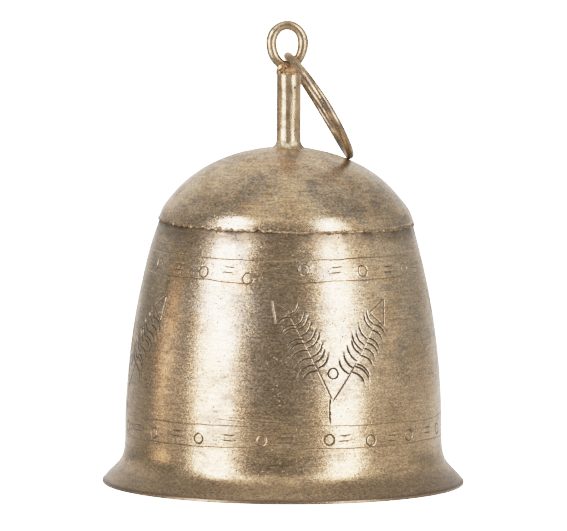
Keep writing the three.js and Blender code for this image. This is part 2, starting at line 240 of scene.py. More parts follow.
class Stroke:
    """A cut line on the unrolled shell, through places given by their degrees right of the
    front and their heights.

    How dark the cut is painted is dirt held in it and painted shade, deeper cuts darker.
    With a taper its ends run out shallow, and a fade makes its depth follow the angle."""

    TAPER = 0.8  # length over which an end runs out
    END_SHARE = 0.35  # the depth left at the very end
    RAILS = (-1.7, -1.0, -0.5, 0.0, 0.5, 1.0, 1.7)  # places across the cut, in half widths

    def __init__(self, angles, heights, half_width, depth, dirt_and_shade, taper=True, fade=None):
        across = np.radians(angles) * UNROLL_RADIUS
        path = np.stack([across, np.asarray(heights, float)], 1)
        steps = np.hypot(*np.diff(path, axis=0).T)
        along = np.concatenate([[0], np.cumsum(steps)])
        count = max(2, int(round(along[-1] / STROKE_STEP)) + 1)
        even = np.linspace(0, along[-1], count)
        self.path = np.stack([np.interp(even, along, path[:, axis]) for axis in (0, 1)], 1)
        self.half_width = half_width
        self.dirt_and_shade = dirt_and_shade
        self.depths = np.full(count, float(depth))
        if taper:
            from_end = np.minimum(even, along[-1] - even)
            self.depths *= np.clip(from_end / self.TAPER, self.END_SHARE, 1)
        if fade is not None:
            self.depths = self.depths * fade(self.path[:, 0] / UNROLL_RADIUS)

    def rails(self):
        """The middle line and the lines beside it that carry the cut's shape."""
        along = np.gradient(self.path, axis=0)
        along /= np.hypot(*along.T)[:, None]
        beside = np.stack([-along[:, 1], along[:, 0]], 1)
        if self.closes_round_the_bell():
            beside = np.tile([0.0, 1.0], (len(self.path), 1))
        for share in self.RAILS:
            yield self.path + beside * share * self.half_width

    def closes_round_the_bell(self):
        """Whether the last place is the first one again."""
        return self.path[-1, 0] - self.path[0, 0] > UNROLL_RADIUS * (FULL_TURN - NEAR)


def surface_angle(distance, height):
    """Degrees round the bell for a distance along the shell at a height."""
    outline = body_outside(20, 40)
    return np.degrees(distance / radius_at(height, outline))


def band_line(height, seed, depth, dip=0.0, fade=None):
    """A line scribed freehand right round the bell, dipping a little left of the front."""
    wander, dip_angle, dip_spread = 0.16, -8, 30
    turn = SPLIT + np.linspace(0, FULL_TURN, int(FULL_TURN * UNROLL_RADIUS / STROKE_STEP) + 1)
    angles = np.degrees(turn)
    slow = waves(turn, 0, seed, wavelength=30, size=wander)
    quick = waves(turn, 0, seed + 1, wavelength=7, size=wander * 0.3)
    heights = height + slow + quick - dip * hump(angles - dip_angle, dip_spread)
    heights[-1] = heights[0]
    return Stroke(angles, heights, 0.22, depth, dirt_and_shade=0.45, taper=False, fade=fade)


def punched_ring(angle, height, radius=PUNCH_RADIUS, dirt_and_shade=0.6):
    """The mark of a ring punch."""
    turn = np.linspace(0, FULL_TURN, 33)
    angles = angle + surface_angle(radius * np.cos(turn), height)
    heights = height + radius * np.sin(turn)
    return Stroke(angles, heights, 0.32, depth=0.18, dirt_and_shade=dirt_and_shade, taper=False)


def twin_dashes(angle, height, tilt):
    """Two short cuts, one above the other, the upper one set a little to the right."""
    length, apart, offset, sag = 4.6, 1.9, 0.5, 0.25
    for side in (-0.5, 0.5):
        x = np.linspace(-0.5, 0.5, 5) * length + side * offset
        bow = sag * (x / length) ** 2
        heights = height + side * apart + x * math.tan(math.radians(tilt)) + bow
        yield Stroke(angle + surface_angle(x, height), heights, 0.30, depth=0.15, dirt_and_shade=0.65)


def filled_round(front, count):
    """The front places, and evenly spaced ones that carry on round the back."""
    first, last = front[0], front[-1]
    gap = (first[0] + 360 - last[0]) / (count + 1)
    back = [(last[0] + gap * (step + 1), last[1]) for step in range(count)]
    split = math.degrees(SPLIT)
    return [((angle - split) % 360 + split, height) for angle, height in front + back]


def band(rings, dashes, seed):
    """A row of punched rings with twin dashes between them."""
    rng = np.random.default_rng(seed)
    for angle, height in rings:
        yield punched_ring(angle, height, PUNCH_RADIUS + rng.uniform(-0.1, 0.1))
    for angle, height in dashes:
        yield from twin_dashes(angle, height, rng.uniform(-4, 4))


def curve_stroke(points, base_angle, base_height, half_width, depth, dirt_and_shade):
    """A stroke through a start, a pulled middle and an end, in millimetres from the base."""
    start, middle, end = (np.array(place, float) for place in points)
    pull = 2 * middle - (start + end) / 2
    t = np.linspace(0, 1, 9)[:, None]
    path = (1 - t) ** 2 * start + 2 * (1 - t) * t * pull + t**2 * end
    heights = base_height + path[:, 1]
    angles = base_angle + surface_angle(path[:, 0], heights)
    return Stroke(angles, heights, half_width, depth, dirt_and_shade)


def frond(root, tip, inner_barb, outer_barb, seed):
    """One feathered branch: its barbs, then the spine, each a curve and its weight.

    Each barb is (its reach from the spine, how far its middle is bowed)."""
    rng = np.random.default_rng(seed)
    root, tip = np.array(root, float), np.array(tip, float)
    spine_bow = np.array([0.35, -0.3])
    barbs, first_barb, barbed_share = 9, 0.36, 0.62
    for step in range(barbs):
        for reach, bow in (inner_barb, outer_barb):
            along = barbed_share * step + rng.uniform(-0.22, 0.22)
            share = first_barb + along / (barbs - 1)
            on_spine = root + (tip - root) * share + spine_bow * math.sin(math.pi * share)
            size = 0.84 + 0.2 * math.sin(math.pi * share) + rng.uniform(-0.1, 0.1)
            end = on_spine + np.array(reach) * size + rng.uniform(-0.3, 0.3, 2)
            middle = (on_spine + end) / 2 + np.array(bow) * size
            yield (on_spine, middle, end), 1.0
    half_way = (root + tip) / 2 + spine_bow
    yield (root, (root + half_way) / 2 + spine_bow / 4, half_way), 0.7
    yield (half_way, (half_way + tip) / 2 + spine_bow / 4, tip), 0.25


def forked_plant(angle, height, weight):
    """Stem, two feathered branches with arrow heads, and a ring in the fork."""
    curves = [(((0, 0), (-0.2, -4.4), (-0.2, -9.0)), 0.9)]
    seed = int(angle) % 360
    left_barbs = ((4.2, 4.5), (0.7, -0.7)), ((-5.6, -2.7), (-0.2, 1.0))
    right_barbs = ((-3.6, 5.2), (-0.9, -0.3)), ((4.9, -3.8), (0.7, 0.6))
    curves += frond((0.6, -0.6), (-13.9, 29.2), *left_barbs, seed)
    curves += frond((0.9, -1.3), (18.9, 25.4), *right_barbs, seed + 1)
    left_head = [(-19.7, 34.4), (-13.4, 30.6), (-18.7, 26.0)]
    right_head = [(23.6, 33.7), (16.8, 29.1), (22.9, 24.0)]
    for head in (left_head, right_head):
        for start, end in zip(head, head[1:] + head[:1]):
            curves.append(((start, (np.array(start) + end) / 2, end), 0.75))
    half_width, depth, dirt_and_shade = 0.36, 0.19, 0.95
    for points, share in curves:
        size = weight * share
        wide = half_width * math.sqrt(size)
        yield curve_stroke(points, angle, height, wide, depth * size, dirt_and_shade * share)
    ring_right, ring_rise = 1.2, 8.4
    yield punched_ring(angle + surface_angle(ring_right, height), height + ring_rise, dirt_and_shade=1.0)


def engraving():
    """Every cut on the barrel: two scribed bands, the forked plants between them, and two
    slips of the graver under one plant. Places are (degrees right of the front, height)."""
    upper_rings = [(-64, 80.9), (-35.4, 79.9), (-15, 78.3), (8.4, 81.6), (34, 80.6), (59, 80.1)]
    upper_dashes = [(-50, 80.8), (-23.5, 81.1), (-1.5, 81.3), (22, 81.3), (48, 80.5), (71, 80.5)]
    lower_rings = [(-54, 21.5), (-32, 21.3), (-8, 21.7), (16.5, 21.8), (33, 21.0), (51.5, 21.6)]
    lower_dashes = [(-42, 22.5), (-20, 22.1), (1, 21.9), (22.5, 22.2), (43, 21.2), (64.5, 22.3)]
    strokes = [
        band_line(85.2, seed=11, depth=0.15, dip=0.6, fade=worn_behind),
        band_line(77.7, seed=12, depth=0.17, dip=1.1),
        band_line(26.4, seed=13, depth=0.10, fade=worn_behind),
        band_line(18.7, seed=14, depth=0.12),
    ]
    strokes += band(filled_round(upper_rings, 9), filled_round(upper_dashes, 9), seed=21)
    strokes += band(filled_round(lower_rings, 10), filled_round(lower_dashes, 10), seed=22)
    strokes.append(Stroke([-24, -13, -3], [28.6, 27.9, 27.3], 0.25, depth=0.10, dirt_and_shade=0.3))
    strokes.append(Stroke([-20, -9, 2], [29.4, 28.9, 28.0], 0.20, depth=0.07, dirt_and_shade=0.2))
    fork_height = 36.8
    for angle, weight in ((17, 1.0), (-80, 1.2), (-169, 1.0), (103, 1.0)):
        strokes += forked_plant(angle, fork_height, weight)
    return strokes


def worn_behind(turn):
    """How much of a line's depth is left: all of it near the front."""
    return 0.85 + 0.15 * np.clip(np.cos(turn - 0.2), 0, 1)


def cut_depth(places, strokes):
    """How deep each place is cut, how high a burr stands there, and how dark it is painted:
    dirt held in the cut and painted shade, darker the deeper the cut.
    """
    burr_share, burr_place, burr_spread = 0.2, 1.25, 0.5  # the last two in half widths
    roundness, full_darkening_depth = 0.8, 0.08
    stretch = 32  # segments of a stroke that are worked out together
    depth, burr, dirt_and_shade = np.zeros((3, len(places)))
    order = np.argsort(places[:, 0])
    sorted_across = places[order, 0]
    for stroke in strokes:
        reach = stroke.half_width * 2
        for first in range(0, len(stroke.path) - 1, stretch):
            path = stroke.path[first : first + stretch + 1]
            depths = stroke.depths[first : first + stretch + 1]
            low, high = path.min(0) - reach, path.max(0) + reach
            near = order[slice(*np.searchsorted(sorted_across, (low[0], high[0])))]
            near = near[(places[near, 1] > low[1]) & (places[near, 1] < high[1])]
            if not len(near):
                continue
            start, span = path[:-1], np.diff(path, axis=0)
            offset = places[near][:, None] - start[None]
            share = (offset * span).sum(2) / np.maximum((span**2).sum(1), NEAR**2)
            share = np.clip(share, 0, 1)
            away = np.hypot(*np.moveaxis(offset - share[..., None] * span, 2, 0))
            ratio = away / stroke.half_width
            here = depths[:-1] + share * np.diff(depths)
            groove = (here * np.clip(1 - ratio, 0, 1) ** roundness).max(1)
            on_burr = np.clip(1 - np.abs(ratio - burr_place) / burr_spread, 0, 1)
            ridge = (here * burr_share * on_burr).max(1)
            # painted darkness of the cut, dirt held in it and painted shade, growing with the
            # cut's depth
            cut_dirt_and_shade = stroke.dirt_and_shade * np.clip(groove / full_darkening_depth, 0, 1)
            depth[near] = np.maximum(depth[near], groove)
            burr[near] = np.maximum(burr[near], ridge)
            dirt_and_shade[near] = np.maximum(dirt_and_shade[near], cut_dirt_and_shade)
    return depth, np.where(depth > 0, 0, burr), dirt_and_shade


# ------------------------------------------------------------------ meshes

def as_object(name, vertices, faces, material, dirt_and_shade=None, sharp=35):
    """A smooth-shaded object from places in millimetres, sharp only past the given angle."""
    mesh = bpy.data.meshes.new(name)
    mesh.from_pydata((np.asarray(vertices) * MM).tolist(), [], faces)
    mesh.polygons.foreach_set("use_smooth", np.ones(len(mesh.polygons), bool))
    mesh.set_sharp_from_angle(angle=math.radians(sharp))
    # how dark each vertex is painted: dirt, and painted shade in the cuts, under the crown's rim
    # and at the lip's edge
    layer = mesh.attributes.new("dirt_and_shade", "FLOAT", "POINT")
    values = np.zeros(len(vertices)) if dirt_and_shade is None else np.asarray(dirt_and_shade)
    layer.data.foreach_set("value", values.astype(np.float32))
    mesh.materials.append(material)
    mesh.update()
    piece = bpy.data.objects.new(name, mesh)
    bpy.context.collection.objects.link(piece)
    return piece


def ring_faces(rows, columns, first=0, closed_rows=False):
    """Quads of a grid of rings, each of the given number of columns."""
    faces = []
    spans = rows if closed_rows else rows - 1
    for row in range(spans):
        here = first + row * columns
        above = first + ((row + 1) % rows) * columns
        for column in range(columns):
            beside = (column + 1) % columns
            faces.append((here + column, here + beside, above + beside, above + column))
    return faces


def wrapped(angle, radius, height):
    """Places in X, Y and Z from angles to the right of the front, radii and heights."""
    turn = angle + FRONT
    return np.stack([radius * np.cos(turn), radius * np.sin(turn), height], 1)


def revolve(outline, angles, move=None):
    """Rings of places round Z for an outline of (radius, height)."""
    radius = np.repeat(outline[:, 0], len(angles))
    height = np.repeat(outline[:, 1], len(angles))
    angle = np.tile(angles, len(outline))
    if move is not None:
        radius, height = move(angle, radius, height)
    return wrapped(angle, radius, height)


def turned(name, outline, material, columns=96, x=0.0, move=None, dirt_and_shade=0.0):
    """A closed solid of revolution. The outline runs up the outside, from axis to axis or
    round a closed section. How dark it is painted is the same all over, except on the axis."""
    outline = np.array(outline, float)
    angles = even_turns(columns, -math.pi)
    on_axis = outline[0, 0] == 0
    rings = outline[1:-1] if on_axis else outline
    vertices = revolve(rings, angles, move)
    faces = ring_faces(len(rings), columns, closed_rows=not on_axis)
    dirt_and_shade_values = np.full(len(vertices), dirt_and_shade)
    if on_axis:
        low, high = len(vertices), len(vertices) + 1
        vertices = np.vstack([vertices, [0, 0, outline[0, 1]], [0, 0, outline[-1, 1]]])
        top = (len(rings) - 1) * columns
        for column in range(columns):
            beside = (column + 1) % columns
            faces.append((low, beside, column))
            faces.append((high, top + column, top + beside))
        dirt_and_shade_values = np.append(dirt_and_shade_values, [0, 0])
    vertices[:, 0] += x
    return as_object(name, vertices, faces, material, dirt_and_shade_values)


def swept(path, radii, across_plane, closed, sides=20):
    """Vertices and faces of a round wire along a flat path."""
    path = np.array(path, float)
    radii = np.broadcast_to(radii, len(path))
    if closed:
        along = np.roll(path, -1, 0) - np.roll(path, 1, 0)
    else:
        along = np.gradient(path, axis=0)
    along /= np.linalg.norm(along, axis=1)[:, None]
    in_plane = np.cross(along, across_plane)
    turn = even_turns(sides)
    around = (
        in_plane[:, None] * np.cos(turn)[None, :, None]
        + np.array(across_plane)[None, None] * np.sin(turn)[None, :, None]
    )
    vertices = (path[:, None] + around * radii[:, None, None]).reshape(-1, 3)
    faces = ring_faces(len(path), sides, closed_rows=closed)
    if not closed:
        faces.append(tuple(reversed(range(sides))))
        faces.append(tuple(range(len(vertices) - sides, len(vertices))))
    return vertices, [tuple(reversed(face)) for face in faces]


def arc(centre, radius_x, radius_z, start, end, count):
    """Points of an arc in the XZ plane. Angles in radians from +X towards +Z."""
    turn = np.linspace(start, end, count + 1)
    x = centre[0] + radius_x * np.cos(turn)
    z = centre[1] + radius_z * np.sin(turn)
    return np.stack([x, np.zeros_like(x), z], 1)


# ------------------------------------------------------------------ shell

def plain_places(low, high, length, rails):
    """A grid of places over the unrolled skin, left out near the strokes' rails.

    The edge rows are always whole, and the two sides are thinned alike so that they join."""
    columns = np.linspace(0, length, COLUMNS + 1)
    rows = np.linspace(low, high, int(round((high - low) / SKIN_ROW)) + 1)
    grid = np.stack(np.meshgrid(columns, rows), -1).reshape(-1, 2)
    taken = set()
    for rail in rails:
        for x, y in np.unique(np.floor(rail / CLEAR_CELL).astype(int), axis=0):
            taken.update((x + dx, y + dy) for dx in (-1, 0, 1) for dy in (-1, 0, 1))
    joined = grid.copy()
    joined[grid[:, 0] == length, 0] = 0
    cells = np.floor(joined / CLEAR_CELL).astype(int)
    free = np.array([tuple(place) not in taken for place in cells])
    on_edge_row = (grid[:, 1] == low) | (grid[:, 1] == high)
    return grid[free | on_edge_row]


def unrolled_skin(low, high, strokes):
    """A flat triangulation of the skin, with rows of vertices along every stroke.

    Returns places as (distance round from the split, height) and the triangles, with the
    two sides at the split joined."""
    length = FULL_TURN * UNROLL_RADIUS
    shift = (-SPLIT * UNROLL_RADIUS, 0)
    rails = [rail + shift for stroke in strokes for rail in stroke.rails()]
    points = [plain_places(low, high, length, rails)]
    edges = []
    count = len(points[0])
    for rail in rails:
        points.append(rail)
        edges += [(count + step, count + step + 1) for step in range(len(rail) - 1)]
        count += len(rail)
    flat = np.vstack(points)
    flat[:, 0] = np.clip(flat[:, 0], 0, length)
    whole_hull, tolerance = 0, 1e-5
    result = delaunay_2d_cdt([Vector(place) for place in flat], edges, [], whole_hull, tolerance)
    places = np.array([tuple(place) for place in result[0]])
    triangles = np.array([tuple(face) for face in result[2]])
    join = np.arange(len(places))
    at_start = np.flatnonzero(places[:, 0] < NEAR)
    at_end = np.flatnonzero(places[:, 0] > length - NEAR)
    join[at_end[np.argsort(places[at_end, 1])]] = at_start[np.argsort(places[at_start, 1])]
    return places, join[triangles]


def engraved_skin(places, strokes):
    """The unrolled places wrapped onto the barrel with every cut in them, and how dark each is
    painted: dirt, and painted shade in the cuts, under the crown's rim and at the lip.
    """
    outline = body_outside(40, 80)
    slope = np.gradient(outline, axis=0)
    slope /= np.hypot(*slope.T)[:, None]
    height = places[:, 1]
    radius = radius_at(height, outline)
    out = np.interp(height, outline[:, 1], slope[:, 1])
    up = -np.interp(height, outline[:, 1], slope[:, 0])
    angle = places[:, 0] / UNROLL_RADIUS + SPLIT
    centred = np.stack([angle * UNROLL_RADIUS, height], 1)
    depth, burr, dirt_and_shade = cut_depth(centred, strokes)
    move = body_unevenness(angle, height) - depth + burr
    radius = radius + out * move - shoulder_set_in(angle, height)
    skin = wrapped(angle, radius, height + up * move)
    return skin, np.maximum(dirt_and_shade, seam_and_lip_dirt_and_shade(angle, height))


def seam_and_lip_dirt_and_shade(angle, height):
    """How dark the skin is painted below the seam and along the lip: dirt below the seam, most
    on the right, with a line of painted shadow under the crown's overhanging rim, and a
    darker line just above the lip's edge.
    """
    below_seam = SEAM_HEIGHT - height
    above_lip = height - LIP_EDGE
    patchy = np.clip(0.5 + waves(angle, 0, seed=34, wavelength=6, size=0.4), 0.05, 0.9)
    smear = 0.95 * patchy * (1 + 0.4 * np.sin(angle)) * decay(below_seam, 2.1)
    # painted shadow right under the crown's overhanging rim, with dirt in the joint
    rim_shadow_and_dirt_line = (0.45 + 0.4 * patchy) * decay(below_seam, 0.8)
    lip_smear = 0.35 * decay(above_lip, 0.8)
    lip_line = 0.60 * decay(above_lip, 0.25)
    return np.maximum.reduce([smear, rim_shadow_and_dirt_line, lip_smear, lip_line])


def neck(inset):
    """The neck's outline inside the crown, the given distance inside the crown's surface."""
    outline = crown(inset, 24)
    return outline[outline[:, 1] <= NECK_TOP + 0.2]


def shell_inside():
    """The rest of the shell's outline, with how dark each row is painted: from the seam over the
    neck, down the inside, out under the lip and round its edge. The inside is a little darker,
    and the lip's bottom edge carries a painted contact shadow with the floor."""
    neck_outside = neck(SHEET + SLACK)
    neck_inside = neck(2 * SHEET + SLACK)[::-1]
    barrel_inside = barrel(SHEET, 30)[::-1][1:]
    flare_inside = flare((LIP_RADIUS - LIP_LAND, 0), SHEET, 14)[::-1][1:]
    round_edge, edge_top = 0.25, 0.3
    lip = [
        (LIP_RADIUS - round_edge, 0),
        (LIP_RADIUS, round_edge),
        (LIP_RADIUS, LIP_EDGE - edge_top),
    ]
    # the inside is painted a little darker; the lip's bottom edge is painted dark as a contact
    # shadow with the floor
    inside_darkening, lip_contact_shadow = 0.15, [0.95, 0.3, 0.0]
    start = [(neck_outside[0, 0], SEAM_HEIGHT)]
    outline = np.vstack([start, neck_outside, neck_inside, barrel_inside, flare_inside, lip])
    dirt_and_shade = np.full(len(outline), inside_darkening)
    dirt_and_shade[-len(lip) :] = lip_contact_shadow
    return outline, dirt_and_shade


def bell_body(material):
    """The engraved skin, closed by the neck, the inside and the lip's flat ring."""
    strokes = engraving()
    places, triangles = unrolled_skin(LIP_EDGE, SEAM_HEIGHT, strokes)
    skin, dirt_and_shade = engraved_skin(places, strokes)
    used = np.unique(triangles)
    index = np.zeros(len(places), int)
    index[used] = np.arange(len(used))
    faces = [tuple(face) for face in index[triangles]]
    bottom = index[ordered_row(places, used, LIP_EDGE)]
    top = index[ordered_row(places, used, SEAM_HEIGHT)]

    rest, rest_darkening = shell_inside()
    angles = even_turns(COLUMNS, SPLIT)
    first = len(used)
    faces += ring_faces(len(rest), COLUMNS, first)
    last = first + (len(rest) - 1) * COLUMNS
    for column in range(COLUMNS):
        beside = (column + 1) % COLUMNS
        faces.append((top[column], top[beside], first + beside, first + column))
        faces.append((last + column, last + beside, bottom[beside], bottom[column]))
    vertices = np.vstack([skin[used], revolve(rest, angles)])
    dirt_and_shade_values = np.append(dirt_and_shade[used], np.repeat(rest_darkening, COLUMNS))
    return as_object("bell_body_engraved", vertices, faces, material, dirt_and_shade_values, sharp=38)


def ordered_row(places, used, height):
    """The skin's vertices along one straight edge, right round from the split."""
    row = used[np.abs(places[used, 1] - height) < NEAR]
    return row[np.argsort(places[row, 0])]


def rim_height(angle):
    """The crown's cut edge is uneven, a little lower on the right, with one torn jog."""
    jog_angle, jog_spread, jog_rise = -12, 1.6, 1.0
    degrees = np.degrees((angle + math.pi) % FULL_TURN - math.pi)
    slope = -0.25 - 0.75 * np.sin(angle)
    jog = jog_rise * hump(degrees - jog_angle, jog_spread)
    broad = waves(angle, 0, seed=31, wavelength=12, size=0.14)
    return slope + jog + broad + waves(angle, 0, seed=32, wavelength=3.2, size=0.13)


def shoulder_set_in(angle, height):
    """How far the shoulder is beaten in near the seam, most of all on the left."""
    reach = 6
    from_seam = (height - RIM_HEIGHT) / reach
    return SHOULDER_SET_IN * (1 - np.sin(angle)) / 2 / (1 + from_seam**2)


def skirt_and_crown():
    """The crown's outline, carried on down the barrel where the uneven rim hangs lower."""
    wall = barrel(0, 60)
    skirt = np.stack([wall[:, 0] + RIM_RADIUS - SEAM_RADIUS, wall[:, 1]], 1)
    profile = np.vstack([skirt, crown(0, 200)])
    fullest, spread = RIM_HEIGHT + 4, 3
    profile[:, 0] += RIM_FULLNESS * hump(profile[:, 1] - fullest, spread)
    return profile


def crown_dome(material):
    """The raised dome. Its rim is uneven and stands just proud of the barrel's wall."""
    close_rows = crown(0, 240)[:18]  # near the rim, where it bends most
    outside = np.vstack([close_rows, crown(0, 70)[6:-1]])
    inside = crown(SHEET, 30)[:-1][::-1]
    profile = skirt_and_crown()
    rim_reach, apex_reach, inside_darkening = 7.0, 20, 0.3
    sideways_and_up = 0.7  # the share of a bump that goes each way on the sloping dome

    def move(angle, radius, height):
        above_rim = height - RIM_HEIGHT
        near_rim = np.clip(1 - above_rim / rim_reach, 0, 1)
        set_in = shoulder_set_in(angle, height) * np.clip(radius / apex_reach, 0, 1)
        turned_in = 0.15 * (1 + np.sin(angle)) * decay(above_rim, 0.5) + set_in
        height = height + rim_height(angle) * near_rim**2
        radius = radius_at(height, profile) - turned_in
        bump = crown_unevenness(angle, height) - nick(angle, height)
        bump = bump * np.clip(radius / apex_reach, 0, 1) * (1 - near_rim) * sideways_and_up
        return radius + bump, height + bump

    angles = even_turns(COLUMNS, -math.pi)
    outer = revolve(outside, angles, move)
    inner = revolve(inside, angles)
    vertices = np.vstack([outer, inner, [(0, 0, APEX_HEIGHT), (0, 0, APEX_HEIGHT - SHEET)]])
    faces = ring_faces(len(outside), COLUMNS)
    faces += ring_faces(len(inside), COLUMNS, len(outer))
    outer_top = (len(outside) - 1) * COLUMNS
    inner_top = len(outer)
    inner_rim = len(outer) + (len(inside) - 1) * COLUMNS
    apex, under = len(vertices) - 2, len(vertices) - 1
    for column in range(COLUMNS):
        beside = (column + 1) % COLUMNS
        faces.append((apex, outer_top + column, outer_top + beside))
        faces.append((under, inner_top + beside, inner_top + column))
        faces.append((inner_rim + column, inner_rim + beside, beside, column))
    dirt_and_shade = rim_soil(vertices)
    dirt_and_shade[len(outer) :] = inside_darkening
    return as_object("crown_dome_raised", vertices, faces, material, dirt_and_shade, sharp=40)


def rim_soil(vertices):
    """Dirt that gathers in patches along the crown's rim."""
    above_rim = vertices[:, 2] - RIM_HEIGHT
    around = np.arctan2(vertices[:, 1], vertices[:, 0])
    patchy = np.clip(0.55 + waves(around, 0, seed=33, wavelength=7, size=0.4), 0.1, 1)
    return 0.35 * patchy * decay(np.maximum(above_rim + 0.6, 0), 1.0)


def nick(angle, height):
    """A small dent to the right of the front."""
    depth, width_squared = 0.35, 0.8
    dent_angle, dent_height, dome_radius = math.radians(25), 103.5, 40
    across = (angle - dent_angle) * dome_radius
    return depth * decay(across**2 + (height - dent_height) ** 2, width_squared)


def seam_braze(material):
    """A lumpy bead of brazing metal, half hidden under the crown's rim."""
    below_rim, behind_wall, bead_radius, thinner_behind = 0.15, 0.58, 0.74, 0.09
    profile = skirt_and_crown()
    sides, squash = 10, 0.9
    turn = even_turns(sides)
    section = np.stack([np.cos(turn), np.sin(turn) * squash], 1)

    def move(angle, across, up):
        middle = RIM_HEIGHT - below_rim + rim_height(angle)
        wall = radius_at(middle, profile) - shoulder_set_in(angle, middle)
        lumps = waves(angle, 0, seed=41, wavelength=5, size=0.13)
        beads = waves(angle, 0, seed=42, wavelength=1.6, size=0.11)
        size = bead_radius + lumps + beads - thinner_behind * (1 - np.cos(angle))
        return wall - behind_wall + size * across, middle + size * up

    return turned("seam_braze_bead", section, material, COLUMNS * 2, move=move, dirt_and_shade=0.2)


# ------------------------------------------------------------------ handle

def handle_stem(material):
    """The rod, worn and pitted, with its tenon and peened end under the washer."""
    head_bottom = edge_of("handle_stem", 0, 2)
    tenon, head = TENON_RADIUS, TENON_HEAD_RADIUS
    rod_bottom = APEX_HEIGHT - 0.6
    rows = np.linspace(rod_bottom, STEM_TOP - 0.7, 44)
    rod = np.stack([np.full(len(rows), STEM_RADIUS - STEM_WEAR), rows], 1)
    shoulder = [(STEM_RADIUS - 0.3, STEM_TOP - 0.35), (STEM_RADIUS - 0.8, STEM_TOP)]
    outline = np.vstack([
        [(0, head_bottom), (head * 0.7, head_bottom), (head, head_bottom + 0.5)],
        [(head, WASHER_BOTTOM), (tenon, WASHER_BOTTOM), (tenon, rod_bottom)],
        rod, shoulder, [(0, STEM_TOP)],
    ])

    def move(angle, radius, height):
        long_bumps = waves(angle, height * 0.4, seed=51, wavelength=9, size=0.022)
        fine_bumps = waves(angle, height, seed=52, wavelength=4, size=0.006)
        return radius + (long_bumps + fine_bumps) * (height > APEX_HEIGHT), height

    return turned("handle_rod", outline, material, 64, HANDLE_X, move)


def stem_braze(material):
    """A low uneven fillet of brazing metal round the rod's foot."""
    foot_width, fillet_height, hollowness = 1.6, 3.8, 2.6
    let_into_rod, let_into_crown = 0.12, 0.45
    rise = np.linspace(0, 1, 12)
    radius = STEM_RADIUS - let_into_rod + foot_width * (1 - rise) ** hollowness
    height = APEX_HEIGHT - let_into_crown + fillet_height * rise
    inside = STEM_RADIUS - 0.8
    inner_wall = [(inside, height[-1]), (inside, height[0])]
    section = np.vstack([np.stack([radius, height], 1), inner_wall])

    def move(angle, radius, height):
        spread = np.clip(radius - STEM_RADIUS, 0, 3) / 2
        lump = waves(angle, height, seed=61, wavelength=14, size=0.25) * spread
        return radius + lump, height + waves(angle, 0, seed=62, wavelength=16, size=0.1)

    return turned("stem_foot_fillet", section, material, 72, HANDLE_X, move, dirt_and_shade=0.1)


def eye_path():
    """The egg-shaped middle line of the eye's wire."""
    half_count = 60
    middle = (EYE_X, EYE_MIDDLE)
    rise = EYE_TOP - EYE_WIRE - EYE_MIDDLE
    drop = EYE_MIDDLE - EYE_BOTTOM - EYE_WIRE
    upper = arc(middle, EYE_HALF_WIDTH, rise, 0, math.pi, half_count)[:-1]
    lower = arc(middle, EYE_HALF_WIDTH, drop, math.pi, FULL_TURN, half_count)[:-1]
    return np.vstack([upper, lower])


def suspension_eye(material):
    """The wire eye, a little thicker at its sides than at its top and foot."""
    path = eye_path()
    turn = even_turns(len(path))
    thinnest, fuller_sides, ripple = 0.96, 0.12, 0.02
    share = thinnest + fuller_sides * np.cos(turn) ** 2 + ripple * np.sin(5 * turn + 1)
    radii = EYE_WIRE * share
    vertices, faces = swept(path, radii, (0, 1, 0), True, 28)
    return as_object("suspension_eye_wire", vertices, faces, material)


def eye_braze(material):
    """The lump that runs from the rod's top up round the foot of the eye."""
    over_rod, lump_height, narrowing, fullness = 1.2, 4.6, 1.7, 2.2
    flattened, full_rise, rounded_rows = 0.16, 3, 6
    rise = np.linspace(0, 1, 22)
    height = STEM_TOP - over_rod + lump_height * rise
    radius = STEM_RADIUS - 0.02 - narrowing * rise**fullness
    rounding = np.sqrt(1 - np.linspace(0.1, 1, rounded_rows) ** 2)
    radius[-rounded_rows:] *= rounding
    outline = np.vstack([[(0, height[0])], np.stack([radius, height], 1)])

    def move(angle, radius, height):
        lumps = waves(angle, height, seed=71, wavelength=9, size=0.12)
        lumps = lumps + waves(angle, height * 2, seed=72, wavelength=4, size=0.07)
        share = np.clip((height - STEM_TOP) / full_rise, 0, 1)
        flat = 1 - flattened * share * np.abs(np.cos(angle))
        return (radius + lumps * np.clip(radius, 0, 1)) * flat, height

    piece = turned("eye_foot_lump", outline, material, 64, HANDLE_X, move, dirt_and_shade=0.3)
    for vertex in piece.data.vertices:
        share = min(max((vertex.co.z / MM - STEM_TOP) / full_rise, 0), 1)
        vertex.co.x += (EYE_X - HANDLE_X) * share * MM
    return piece


# ------------------------------------------------------------------ hanging ring

def ring_frame():
    """The ring's middle, the way its wire runs where it crosses the eye, and the way from
    there to the middle."""
    swing = next(j for j in frame["record"]["behaviour"]["joints"] if j["name"] == "ring_swing")
    pivot = np.array(swing["pos_m"]) / MM
    wire = np.array(swing["axis"])
    low, high = (np.array(corner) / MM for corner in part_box("hanging_ring"))
    middle = (low + high) / 2
    down = middle - pivot
    down -= wire * (down @ wire)
    down /= np.linalg.norm(down)
    return pivot + down * RING_RADIUS, wire, down


def hanging_ring(material):
    """The loose ring, bent out of round by wear and a little uneven in its wire."""
    middle, wire, down = ring_frame()
    turn = even_turns(220)
    across = np.cross(wire, down)
    away = across * np.sign(across[0])
    bow = RING_BOW * np.cos(turn) ** 2
    longer = RING_STRETCH * (1 + np.sin(turn)) / 2
    path = middle + RING_RADIUS * (np.cos(turn)[:, None] * wire + np.sin(turn)[:, None] * down)
    path += bow[:, None] * away + longer[:, None] * down + (RING_SHIFT, 0, 0)
    wobble = 0.985 + 0.008 * np.sin(3 * turn) + 0.007 * np.sin(11 * turn + 2)
    vertices, faces = swept(path, RING_WIRE * wobble, across, True, 24)
    return as_object("hanging_ring_wire", vertices, faces, material)


# ------------------------------------------------------------------ clapper

